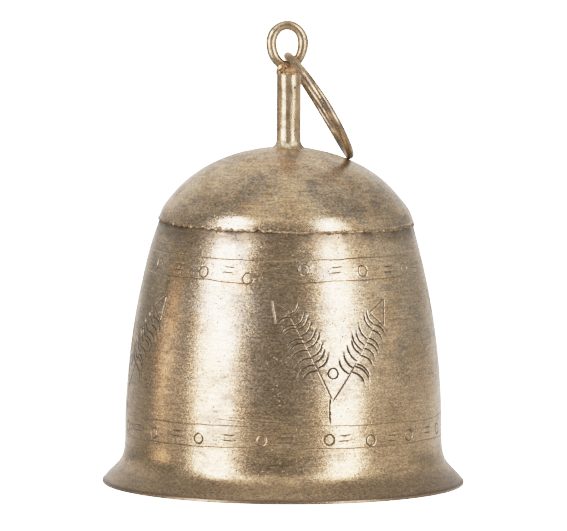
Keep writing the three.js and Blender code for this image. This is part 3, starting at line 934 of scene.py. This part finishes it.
def inner_washer(material):
    """The washer that the tenon is peened over, with its outer edges broken."""
    edge = 0.3
    outline = [
        (TENON_RADIUS, WASHER_BOTTOM), (WASHER_RADIUS - edge, WASHER_BOTTOM),
        (WASHER_RADIUS, WASHER_BOTTOM + edge), (WASHER_RADIUS, WASHER_TOP - edge),
        (WASHER_RADIUS - edge, WASHER_TOP), (TENON_RADIUS, WASHER_TOP),
    ]
    return turned("inner_washer_disc", outline, material, 72, HANDLE_X)


def clapper_staple(material):
    """A U of wire that stands open upwards against the washer."""
    half = STAPLE_SIDE - STAPLE_WIRE - HANDLE_X
    bow_height = STAPLE_BOTTOM + STAPLE_WIRE + half
    bow = arc((HANDLE_X, bow_height), half, half, math.pi, FULL_TURN, 40)
    legs = np.linspace(WASHER_BOTTOM + SLACK, bow_height, 8)[:-1]
    left = [(HANDLE_X - half, 0, z) for z in legs]
    right = [(HANDLE_X + half, 0, z) for z in legs[::-1]]
    vertices, faces = swept(np.vstack([left, bow, right]), STAPLE_WIRE, (0, 1, 0), False)
    return as_object("clapper_staple_wire", vertices, faces, material)


def clapper_link(material):
    """A long closed link, at a quarter turn to the staple and to the clapper's eye."""
    bow = edge_of("clapper_link", 1, 1) - LINK_WIRE
    top = arc((0, LINK_TOP - LINK_WIRE - bow), bow, bow, 0, math.pi, 28)
    low = arc((0, LINK_BOTTOM + LINK_WIRE + bow), bow, bow, math.pi, FULL_TURN, 28)
    path = np.vstack([top, low])[:, [1, 0, 2]]
    path[:, 0] += HANDLE_X
    vertices, faces = swept(path, LINK_WIRE, (-1, 0, 0), True)
    return as_object("clapper_link_wire", vertices, faces, material)


def clapper_rod(material):
    """Shank and forged eye, with the end peened over under the ball."""
    eye_middle = ROD_TOP - ROD_WIRE - ROD_EYE_RADIUS
    eye = arc((HANDLE_X, eye_middle), ROD_EYE_RADIUS, ROD_EYE_RADIUS, 0, FULL_TURN, 64)[:-1]
    vertices, faces = swept(eye, ROD_WIRE, (0, 1, 0), True)
    ball_bottom = edge_of("clapper_ball", 0, 2)
    eye_foot = eye_middle - ROD_EYE_RADIUS
    heights = np.linspace(ball_bottom + SLACK, eye_foot, 60)
    shank = [
        (0, ROD_BOTTOM), (PEEN_RADIUS * 0.75, ROD_BOTTOM + 0.05),
        (PEEN_RADIUS, ROD_BOTTOM + 0.8), (PEEN_RADIUS, ball_bottom),
    ]
    shank += [(ROD_WIRE * (0.97 + 0.03 * math.sin(z * 1.3)), z) for z in heights]
    shank.append((0, eye_foot + 0.4))
    rod = turned("clapper_shank", shank, material, 32, HANDLE_X)
    loop = as_object("clapper_eye", vertices, faces, material)
    return [rod, loop]


def clapper_ball(material):
    """A cast ball with a low band left at the mould's joint."""
    bore, under_size, band_rise = ROD_WIRE + SLACK, 0.14, 0.12
    tilt = np.linspace(-1, 1, 49) * math.asin(1 - BALL_FLAT / BALL_RADIUS)
    radius = (BALL_RADIUS - under_size + band_rise * hump(tilt, 0.03)) * np.cos(tilt)
    height = BALL_HEIGHT + BALL_RADIUS * np.sin(tilt)
    outline = np.vstack([[(bore, height[0])], np.stack([radius, height], 1), [(bore, height[-1])]])

    def move(angle, radius, height):
        off_bore = radius > 4
        return radius + waves(angle, height, seed=81, wavelength=10, size=0.03) * off_bore, height

    return turned("clapper_ball_cast", outline, material, 96, HANDLE_X, move)


# ------------------------------------------------------------------ material building blocks

class Nodes:
    """A node tree under construction, with short ways to add and link its nodes."""

    def __init__(self, owner, shader_type):
        owner.use_nodes = True
        self.tree = owner.node_tree
        self.shader = next(n for n in self.tree.nodes if n.type == shader_type)

    def add(self, kind, inputs, **settings):
        """A node with its settings, and its inputs given by name or place."""
        node = self.tree.nodes.new(kind)
        for name, value in settings.items():
            setattr(node, name, value)
        for key, value in inputs.items():
            self.put(value, node.inputs[key])
        return node

    def put(self, value, socket):
        """Links a socket, or sets a plain value."""
        if isinstance(value, bpy.types.NodeSocket):
            self.tree.links.new(value, socket)
        else:
            socket.default_value = value

    def math(self, operation, *values):
        """One arithmetic step on sockets or plain numbers."""
        inputs = dict(enumerate(values))
        return self.add("ShaderNodeMath", inputs, operation=operation).outputs[0]

    def times(self, first, second):
        """The product of two values."""
        return self.math("MULTIPLY", first, second)

    def scaled(self, value, scale, base):
        """The value times a scale, plus a base."""
        return self.math("MULTIPLY_ADD", value, scale, base)

    def larger(self, first, second):
        """Whichever of two values is larger."""
        return self.math("MAXIMUM", first, second)

    def ramp(self, value, low, high, start=0.0, end=1.0):
        """A smooth step from start to end as the value goes from low to high."""
        ends = {"Value": value, "From Min": low, "From Max": high, "To Min": start, "To Max": end}
        node = self.add("ShaderNodeMapRange", ends, interpolation_type="SMOOTHSTEP")
        return node.outputs["Result"]

    def blend(self, share, first, second, mode="MIX"):
        """From the first colour to the second as the share goes from 0 to 1."""
        inputs = {"Factor": share, 6: first, 7: second}
        node = self.add("ShaderNodeMix", inputs, data_type="RGBA", blend_type=mode)
        return node.outputs[2]


class Look(Nodes):
    """A material under construction."""

    def __init__(self, name):
        self.material = bpy.data.materials.new(name)
        super().__init__(self.material, "BSDF_PRINCIPLED")
        self.place = self.add("ShaderNodeTexCoord", {}).outputs["Object"]

    def stretched(self, size, seed):
        """The place on the object, squeezed along X, Y and Z by the feature size in mm."""
        inputs = {
            "Vector": self.place,
            "Scale": [1 / (MM * part) for part in size],
            "Location": (seed, seed * 1.7, seed * 0.6),
        }
        return self.add("ShaderNodeMapping", inputs).outputs["Vector"]

    def noise(self, size, detail, rough, seed, distortion=0.0):
        """A cloudy pattern of the given feature size in mm, the same every way or X, Y, Z.

        The detail is the number of finer layers over it, and rough is how strong they are."""
        inputs = {
            "Vector": self.stretched(size if isinstance(size, tuple) else (size,) * 3, seed),
            "Scale": 1.0,
            "Detail": detail,
            "Roughness": rough,
            "Distortion": distortion,
        }
        return self.add("ShaderNodeTexNoise", inputs).outputs["Fac"]

    def speckle(self, size, low, high, seed):
        """Round dots scattered at about the given spacing: 1 inside a dot, 0 outside."""
        inputs = {"Vector": self.stretched((size,) * 3, seed), "Scale": 1.0}
        node = self.add("ShaderNodeTexVoronoi", inputs, feature="F1")
        return self.ramp(node.outputs["Distance"], low, high, 1.0, 0.0)

    def shaded(self, colour, value, low, high, start, end):
        """The colour times a grey that goes from start to end as the value rises."""
        grey = self.ramp(value, low, high, start, end)
        grey = self.add("ShaderNodeCombineColor", {0: grey, 1: grey, 2: grey}).outputs[0]
        return self.blend(1.0, colour, grey, "MULTIPLY")

    def bump(self, height, depth, below=None):
        """A height from 0 to 1 as relief of the given depth in mm, over the relief below."""
        inputs = {"Strength": 1.0, "Distance": depth * MM, "Height": height}
        if below is not None:
            inputs["Normal"] = below
        return self.add("ShaderNodeBump", inputs).outputs["Normal"]

    def pressed(self, pits, depth, below):
        """Pits sunk into the relief below."""
        return self.bump(self.times(pits, -1.0), depth, below)

    def dirt_and_shade(self):
        """How dark the mesh says each place is painted: dirt, and painted shade in the cuts,
        under the crown's rim and at the lip's edge.
        """
        return self.add("ShaderNodeAttribute", {}, attribute_name="dirt_and_shade").outputs["Fac"]

    def darkened_by_dirt_and_shade(self, colour, darkening):
        """The colour darkened towards the deep dirt colour as the darkening goes from 0 to 1:
        dirt, and painted shade.
        """
        return self.blend(darkening, colour, DEEP_DIRT_AND_SHADE)

    def height(self):
        """The height above the lip, in millimetres."""
        parts = self.add("ShaderNodeSeparateXYZ", {0: self.place})
        return self.times(parts.outputs["Z"], 1 / MM)

    def film_coat(self):
        """A thin clear film of wax and handling, which mirrors the light without its tint."""
        self.put(0.45, self.shader.inputs["Coat Weight"])
        self.put(0.28, self.shader.inputs["Coat Roughness"])

    def finish(self, colour, roughness, normal):
        """The finished material, as bare metal."""
        self.put(colour, self.shader.inputs["Base Color"])
        self.put(roughness, self.shader.inputs["Roughness"])
        self.put(normal, self.shader.inputs["Normal"])
        self.put(1.0, self.shader.inputs["Metallic"])
        return self.material


# ------------------------------------------------------------------ brass

CLEAN_BRASS = (0.80, 0.605, 0.385, 1)
WARM_BRASS = (0.74, 0.515, 0.285, 1)
ORANGE_BRASS = (0.72, 0.485, 0.255, 1)
BROWN_FILM = (0.26, 0.175, 0.100, 1)
GREY_FILM = (0.46, 0.385, 0.290, 1)
TAN_FILM = (0.52, 0.370, 0.215, 1)
# dark colour of dirt, also painted as shade in the cuts, under the crown's rim and at the lip's
# edge
DEEP_DIRT_AND_SHADE = (0.050, 0.036, 0.024, 1)


def brown_stains(look, brown_share, stains, patches, small_patches, streaks):
    """How brown each place is: dotted patches, streaks, and stains at set heights."""
    brown_patch = look.ramp(look.noise((10, 10, 7), 5, 0.70, seed=8.0), 0.46, 0.68)
    brown_dots = look.ramp(look.noise((0.9, 0.9, 0.75), 4, 0.78, seed=10.0), 0.47, 0.64)
    brown = look.scaled(brown_patch, brown_share * 1.25, 0.12)
    brown = look.times(brown, look.scaled(brown_dots, 1.0, 0.28))
    lowered = look.math("SUBTRACT", look.height(), 4.0)
    ragged_height = look.scaled(small_patches, 8.0, lowered)
    streaky = look.ramp(streaks, 0.38, 0.60, 1.25, 0.55)
    for low, high, strength in stains:
        rising = look.ramp(ragged_height, low, low + 5)
        falling = look.ramp(ragged_height, high - 4, high, strength, 0)
        stain = look.times(look.times(rising, falling), streaky)
        brown = look.larger(brown, stain)
    streaked = look.ramp(look.scaled(patches, 0.5, streaks), 0.78, 0.96, 0, 0.55)
    return look.larger(brown, look.times(streaked, brown_share))


def aged_brass(name, film_share, brown_share, stains):
    """Hand-finished brass that has dulled: sandy grain, patches of film, brown stains.

    Each stain is (its lower edge, its upper edge, how strong), by height in mm."""
    look = Look(name)
    height = look.height()
    tool_lines = look.noise((14, 14, 0.30), 3, 0.6, seed=1.0)
    streaks = look.noise((7.5, 7.5, 0.85), 5, 0.72, seed=17.0, distortion=0.3)
    patches = look.noise((19, 19, 15), 5, 0.62, seed=3.0, distortion=0.5)
    small_patches = look.noise((4.2, 4.2, 3.4), 5, 0.68, seed=4.0)
    dimples = look.noise((1.15, 1.15, 1.0), 3, 0.6, seed=9.0)
    grain = look.noise((0.84, 0.84, 0.44), 4, 0.75, seed=5.0)
    pits = look.speckle(1.5, 0.09, 0.22, seed=6.0)
    pitted_area = look.ramp(look.noise(7, 3, 0.5, seed=7.0), 0.46, 0.60)
    pitted = look.times(pits, pitted_area)

    film = look.scaled(patches, 0.60, look.times(small_patches, 0.40))
    film = look.ramp(film, 0.56 - film_share * 0.14, 0.70 - film_share * 0.14)
    film_colour = look.blend(look.ramp(height, 12, 82), TAN_FILM, GREY_FILM)
    colour = look.blend(look.ramp(height, 10, 70), WARM_BRASS, CLEAN_BRASS)
    warm_patch = look.ramp(look.noise((17, 17, 22), 4, 0.6, seed=16.0), 0.42, 0.62, 0, 0.75)
    colour = look.blend(warm_patch, colour, ORANGE_BRASS)
    colour = look.blend(look.times(film, 0.8), colour, film_colour)

    brown = brown_stains(look, brown_share, stains, patches, small_patches, streaks)
    shade = look.blend(brown, colour, BROWN_FILM)
    shade = look.shaded(shade, grain, 0.36, 0.64, 0.56, 1.26)
    shade = look.shaded(shade, streaks, 0.30, 0.66, 1.12, 0.76)
    # the mesh's darkening, dirt and painted shade, broken up by the grain, with dark pits added
    dirt_and_shade = look.ramp(look.scaled(grain, 0.45, look.dirt_and_shade()), 0.25, 1.15)
    darkening = look.larger(look.times(dirt_and_shade, 0.95), look.times(pitted, 0.75))
    shade = look.darkened_by_dirt_and_shade(shade, darkening)

    roughness = look.scaled(film, 0.09, 0.17)
    roughness = look.scaled(brown, 0.15, roughness)
    roughness = look.scaled(look.ramp(grain, 0.3, 0.7), 0.08, roughness)
    roughness = look.scaled(darkening, 0.30, roughness)
    rough_top = look.ramp(height, 108, 121, 0, 0.20)
    roughness = look.math("ADD", roughness, rough_top)

    relief = look.bump(tool_lines, 0.006)
    relief = look.bump(small_patches, 0.050, relief)
    relief = look.bump(dimples, 0.042, relief)
    relief = look.bump(grain, 0.031, relief)
    relief = look.pressed(pitted, 0.08, relief)
    look.film_coat()
    return look.finish(shade, roughness, relief)


HANDLED_GOLD = (0.72, 0.545, 0.335, 1)
HANDLED_BROWN = (0.55, 0.39, 0.225, 1)
RING_GOLD = (0.64, 0.465, 0.275, 1)
RING_GREY = (0.34, 0.265, 0.185, 1)


def handled_brass(name, gold, brown):
    """Brass that fingers and cord have rubbed, brown in its hollows and pitted."""
    look = Look(name)
    hollows = look.noise(3.2, 5, 0.65, seed=11.0)
    grain = look.noise(0.45, 4, 0.7, seed=12.0)
    drawn = look.noise((0.35, 0.35, 6.0), 3, 0.6, seed=13.0)
    pits = look.speckle(1.9, 0.12, 0.26, seed=14.0)
    pitted = look.times(pits, look.ramp(hollows, 0.48, 0.60))
    patches = look.noise(8, 4, 0.6, seed=15.0)
    colour = look.blend(look.ramp(patches, 0.36, 0.62), gold, brown)
    tarnish = look.times(look.ramp(hollows, 0.44, 0.66), 0.70)
    colour = look.blend(tarnish, colour, BROWN_FILM)
    shade = look.shaded(colour, grain, 0.3, 0.7, 0.78, 1.12)
    dirt_and_shade = look.ramp(look.scaled(grain, 0.4, look.dirt_and_shade()), 0.35, 1.1)
    darkening = look.larger(look.times(dirt_and_shade, 0.8), look.times(pitted, 0.75))
    shade = look.darkened_by_dirt_and_shade(shade, darkening)
    roughness = look.scaled(hollows, 0.24, 0.15)
    roughness = look.scaled(darkening, 0.30, roughness)
    relief = look.bump(hollows, 0.03)
    relief = look.bump(drawn, 0.02, relief)
    relief = look.bump(grain, 0.034, relief)
    relief = look.pressed(pitted, 0.22, relief)
    return look.finish(shade, roughness, relief)


PALE_BRAZE = (0.80, 0.64, 0.40, 1)
ORANGE_BRAZE = (0.74, 0.47, 0.23, 1)
BROWN_BRAZE = (0.52, 0.36, 0.20, 1)
UNPOLISHED_BRASS = (0.62, 0.47, 0.28, 1)


def brazing_metal(name, bright, holes, relief_depth):
    """Brazing metal: lumpy, brown in its hollows, with soot in its holes."""
    look = Look(name)
    lumps = look.noise((2.2, 2.2, 1.6), 5, 0.6, seed=21.0)
    grain = look.noise(0.4, 4, 0.7, seed=22.0)
    pits = look.speckle(1.3, 0.16, 0.32, seed=23.0)
    holed = look.times(pits, look.ramp(lumps, 0.34, 0.50, 0, holes))
    colour = look.blend(look.ramp(lumps, 0.38, 0.66, 0, 0.7), bright, BROWN_FILM)
    shade = look.shaded(colour, grain, 0.3, 0.7, 0.72, 1.12)
    dirt_and_shade = look.ramp(look.scaled(grain, 0.4, look.dirt_and_shade()), 0.45, 1.1)
    darkening = look.larger(look.times(dirt_and_shade, 0.8), look.times(holed, 0.85))
    shade = look.darkened_by_dirt_and_shade(shade, darkening)
    roughness = look.scaled(grain, 0.25, 0.28)
    relief = look.bump(lumps, relief_depth)
    relief = look.bump(grain, 0.03, relief)
    relief = look.pressed(holed, 0.30, relief)
    return look.finish(shade, roughness, relief)


def dull_brass(name):
    """Unpolished metal from inside the bell, brown and matt, with a cast surface."""
    look = Look(name)
    blotches = look.noise(7, 5, 0.6, seed=31.0)
    grain = look.noise(0.5, 4, 0.7, seed=32.0)
    cast = look.noise(1.4, 3, 0.6, seed=33.0)
    colour = look.blend(look.ramp(blotches, 0.38, 0.62), UNPOLISHED_BRASS, BROWN_FILM)
    shade = look.shaded(colour, grain, 0.3, 0.7, 0.70, 1.10)
    shade = look.darkened_by_dirt_and_shade(shade, look.times(look.dirt_and_shade(), 0.7))
    roughness = look.scaled(blotches, 0.30, 0.30)
    relief = look.bump(cast, 0.09)
    relief = look.bump(grain, 0.02, relief)
    return look.finish(shade, roughness, relief)


# ------------------------------------------------------------------ studio

class Surroundings(Nodes):
    """The world under construction: light levels by compass direction and by height."""

    def __init__(self, world):
        super().__init__(world, "BACKGROUND")
        direction = self.add("ShaderNodeTexCoord", {}).outputs["Generated"]
        x, y, self.rise = self.add("ShaderNodeSeparateXYZ", {0: direction}).outputs
        turn = self.math("ARCTAN2", x, self.times(y, -1.0))
        self.share_round = self.scaled(turn, 1 / FULL_TURN, 0.5)

    def level_round(self, levels):
        """Levels that follow the compass: (degrees to the right of the front, level), with
        a third number for how warm that light is."""
        node = self.add("ShaderNodeValToRGB", {0: self.share_round})
        stops = node.color_ramp.elements
        while len(stops) < len(levels):
            stops.new(0.5)
        for stop, (degrees, level, *warm) in zip(stops, levels):
            warmth = sum(warm)
            stop.position = degrees / 360 + 0.5
            stop.color = (level, level * (1 - 0.16 * warmth), level * (1 - 0.27 * warmth), 1)
        return node.outputs["Color"]

    def by_height(self, low, high, below, above):
        """One light below a height and another above it, as the sine of the elevation."""
        return self.blend(self.ramp(self.rise, low, high), below, above)


def studio_world():
    """What the bell mirrors: white behind it, a dim room in front, a pale ceiling."""
    world = bpy.data.worlds.new("studio")
    room = Surroundings(world)
    walls = room.level_round([
        (-180, 1.0), (-162, 0.80), (-145, 0.22), (-107, 0.18), (-102, 2.7, 1), (-98, 2.7, 1),
        (-90, 0.46), (-36, 0.34), (-24, 0.13), (8, 0.14), (24, 0.42), (62, 0.78), (86, 0.66),
        (108, 0.42), (132, 0.32), (154, 0.60), (180, 1.0),
    ])
    high_walls = room.level_round([
        (-180, 1.0), (-155, 0.85), (-130, 0.58), (-100, 0.28), (-80, 0.30), (-36, 0.40),
        (-20, 0.27), (8, 0.27), (24, 0.42), (62, 0.78), (86, 0.75), (108, 0.52), (132, 0.42),
        (154, 0.60), (180, 1.0),
    ])
    floor = room.level_round([
        (-180, 1.0), (-120, 0.4), (-70, 0.5), (0, 0.60), (70, 0.55), (180, 1.0),
    ])
    ceiling = room.level_round([
        (-180, 0.90), (-130, 0.66), (-90, 0.32), (-68, 0.45), (-55, 0.98), (-32, 0.98),
        (-18, 0.80), (22, 0.76), (34, 0.88), (52, 0.88), (72, 0.34), (130, 0.60), (180, 0.90),
    ])
    overhead = (0.78, 0.78, 0.78, 1)
    light = room.by_height(-0.12, 0.02, floor, walls)
    light = room.by_height(-0.02, 0.22, light, high_walls)
    light = room.by_height(0.42, 0.90, light, ceiling)
    light = room.by_height(0.94, 0.985, light, overhead)
    room.put(light, room.shader.inputs["Color"])
    room.put(1.0, room.shader.inputs["Strength"])
    return world


DAYLIGHT = (0.96, 1.0, 1.20)


def softbox(name, azimuth, half_spread):
    """An upright rectangular light that spans the given degrees. Sizes are in metres."""
    distance, low, high, radiance = 1.25, -0.25, 1.52, 4.2
    width = 2 * distance * math.tan(math.radians(half_spread))
    light = bpy.data.lights.new(name, "AREA")
    light.shape = "RECTANGLE"
    light.size = width
    light.size_y = high - low
    light.energy = radiance * width * (high - low) * math.pi
    light.color = DAYLIGHT
    lamp = bpy.data.objects.new(name, light)
    turn = math.radians(azimuth)
    away = Vector((math.sin(turn), -math.cos(turn), 0))
    lamp.location = away * distance + Vector((0, 0, (low + high) / 2))
    lamp.rotation_euler = away.to_track_quat("Z", "Y").to_euler()
    lamp.visible_camera = False
    bpy.context.collection.objects.link(lamp)
    return lamp


def pale_sweep():
    """A white floor that curves up into a round white wall. Sizes here are in metres."""
    look = Look("pale_paper")
    darker, lighter = (0.80, 0.80, 0.80, 1), (0.84, 0.84, 0.84, 1)
    tone = look.noise(900, 3, 0.5, seed=41.0)
    look.put(look.blend(tone, darker, lighter), look.shader.inputs["Base Color"])
    look.put(0.9, look.shader.inputs["Roughness"])
    look.put((1, 1, 1, 1), look.shader.inputs["Emission Color"])
    look.put(4.0, look.shader.inputs["Emission Strength"])
    flat, wall, wall_top, columns = 5.0, 7.0, 5.0, 96
    bend_radius = wall - flat
    curve = [
        (flat + bend_radius * math.sin(t), bend_radius * (1 - math.cos(t)))
        for t in np.linspace(0, math.pi / 2, 12)
    ]
    floor = [(0.5 * k + 0.001, 0.0) for k in range(10)]
    outline = floor + curve + [(wall, wall_top)]
    vertices = revolve(np.array(outline), even_turns(columns)) / MM
    faces = ring_faces(len(outline), columns)
    faces.append(tuple(range(columns)))
    sweep = as_object("floor_sweep", vertices, faces, look.material)
    sweep.data.flip_normals()
    sweep.visible_glossy = False
    sweep.visible_shadow = False
    return sweep


def camera():
    """A long lens 3 m away, a little above the bell, tipped by a third of a degree."""
    here = Vector((0, -3.0, 0.3737))
    aim = Vector((-0.00033, 0, 0.0783))
    tip = Matrix.Rotation(math.radians(0.35), 3, "Z")
    eye = bpy.data.cameras.new("eye")
    eye.sensor_width = 36
    eye.lens = 533.3
    eye.clip_start, eye.clip_end = 0.1, 60
    seat = bpy.data.objects.new("eye", eye)
    look = (aim - here).to_track_quat("-Z", "Y").to_matrix()
    seat.matrix_world = Matrix.Translation(here) @ (look @ tip).to_4x4()
    bpy.context.collection.objects.link(seat)
    return seat


def film_response(settings):
    """Plain colours up to half brightness, then a soft shoulder that reaches white at 4."""
    white = 4.0
    shoulder = [(0.25, 0.25), (0.48, 0.48), (0.70, 0.64), (1.0, 0.775), (1.4, 0.87), (2.2, 0.945)]
    settings.view_transform = "Standard"
    settings.use_curve_mapping = True
    mapping = settings.curve_mapping
    mapping.white_level = (white, white, white)
    combined = mapping.curves[3]
    for light, shown in shoulder:
        combined.points.new(light / white, shown)
    mapping.update()


# ------------------------------------------------------------------ assembly

def place(pieces, body, slot_name, *nodes):
    """One or several pieces that ride on a body and stand for CAD nodes."""
    for piece in pieces if isinstance(pieces, list) else [pieces]:
        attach(piece, body)
        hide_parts(*nodes)


scene = bpy.context.scene
body_brass = aged_brass("aged_brass_body", 0.45, 0.50, [(87.5, 130, 0.78), (-20, 9, 0.70)])
crown_brass = aged_brass("aged_brass_crown", 0.45, 0.75, [(60, 98, 0.36)])
handle_brass = handled_brass("handled_brass", HANDLED_GOLD, HANDLED_BROWN)
ring_brass = handled_brass("ring_brass", RING_GOLD, RING_GREY)
seam_metal = brazing_metal("seam_braze_metal", BROWN_BRAZE, 0.6, 0.30)
foot_metal = brazing_metal("foot_braze_metal", PALE_BRAZE, 0.3, 0.10)
eye_metal = brazing_metal("eye_braze_metal", ORANGE_BRAZE, 1.0, 0.10)
inner_brass = dull_brass("dull_brass")

place(bell_body(body_brass), "bell", "aged_brass", "bell_body")
place(crown_dome(crown_brass), "bell", "aged_brass", "crown_dome")
place(seam_braze(seam_metal), "bell", "brazing_metal", "seam_braze")
place(handle_stem(handle_brass), "bell", "handled_brass", "handle_stem")
place(stem_braze(foot_metal), "bell", "brazing_metal", "stem_braze")
place(suspension_eye(handle_brass), "bell", "handled_brass", "suspension_eye")
place(eye_braze(eye_metal), "bell", "brazing_metal", "eye_braze")
place(hanging_ring(ring_brass), "ring", "handled_brass", "hanging_ring")
place(inner_washer(inner_brass), "bell", "dull_brass", "inner_washer")
place(clapper_staple(inner_brass), "bell", "dull_brass", "clapper_staple")
place(clapper_link(inner_brass), "link", "dull_brass", "clapper_link")
place(clapper_rod(inner_brass), "clapper", "dull_brass", "clapper_rod")
place(clapper_ball(inner_brass), "clapper", "dull_brass", "clapper_ball")

scene.world = studio_world()
softbox("softbox_left", azimuth=-51, half_spread=15)
softbox("softbox_right", azimuth=44, half_spread=10.5)
pale_sweep()
scene.camera = camera()
film_response(scene.view_settings)
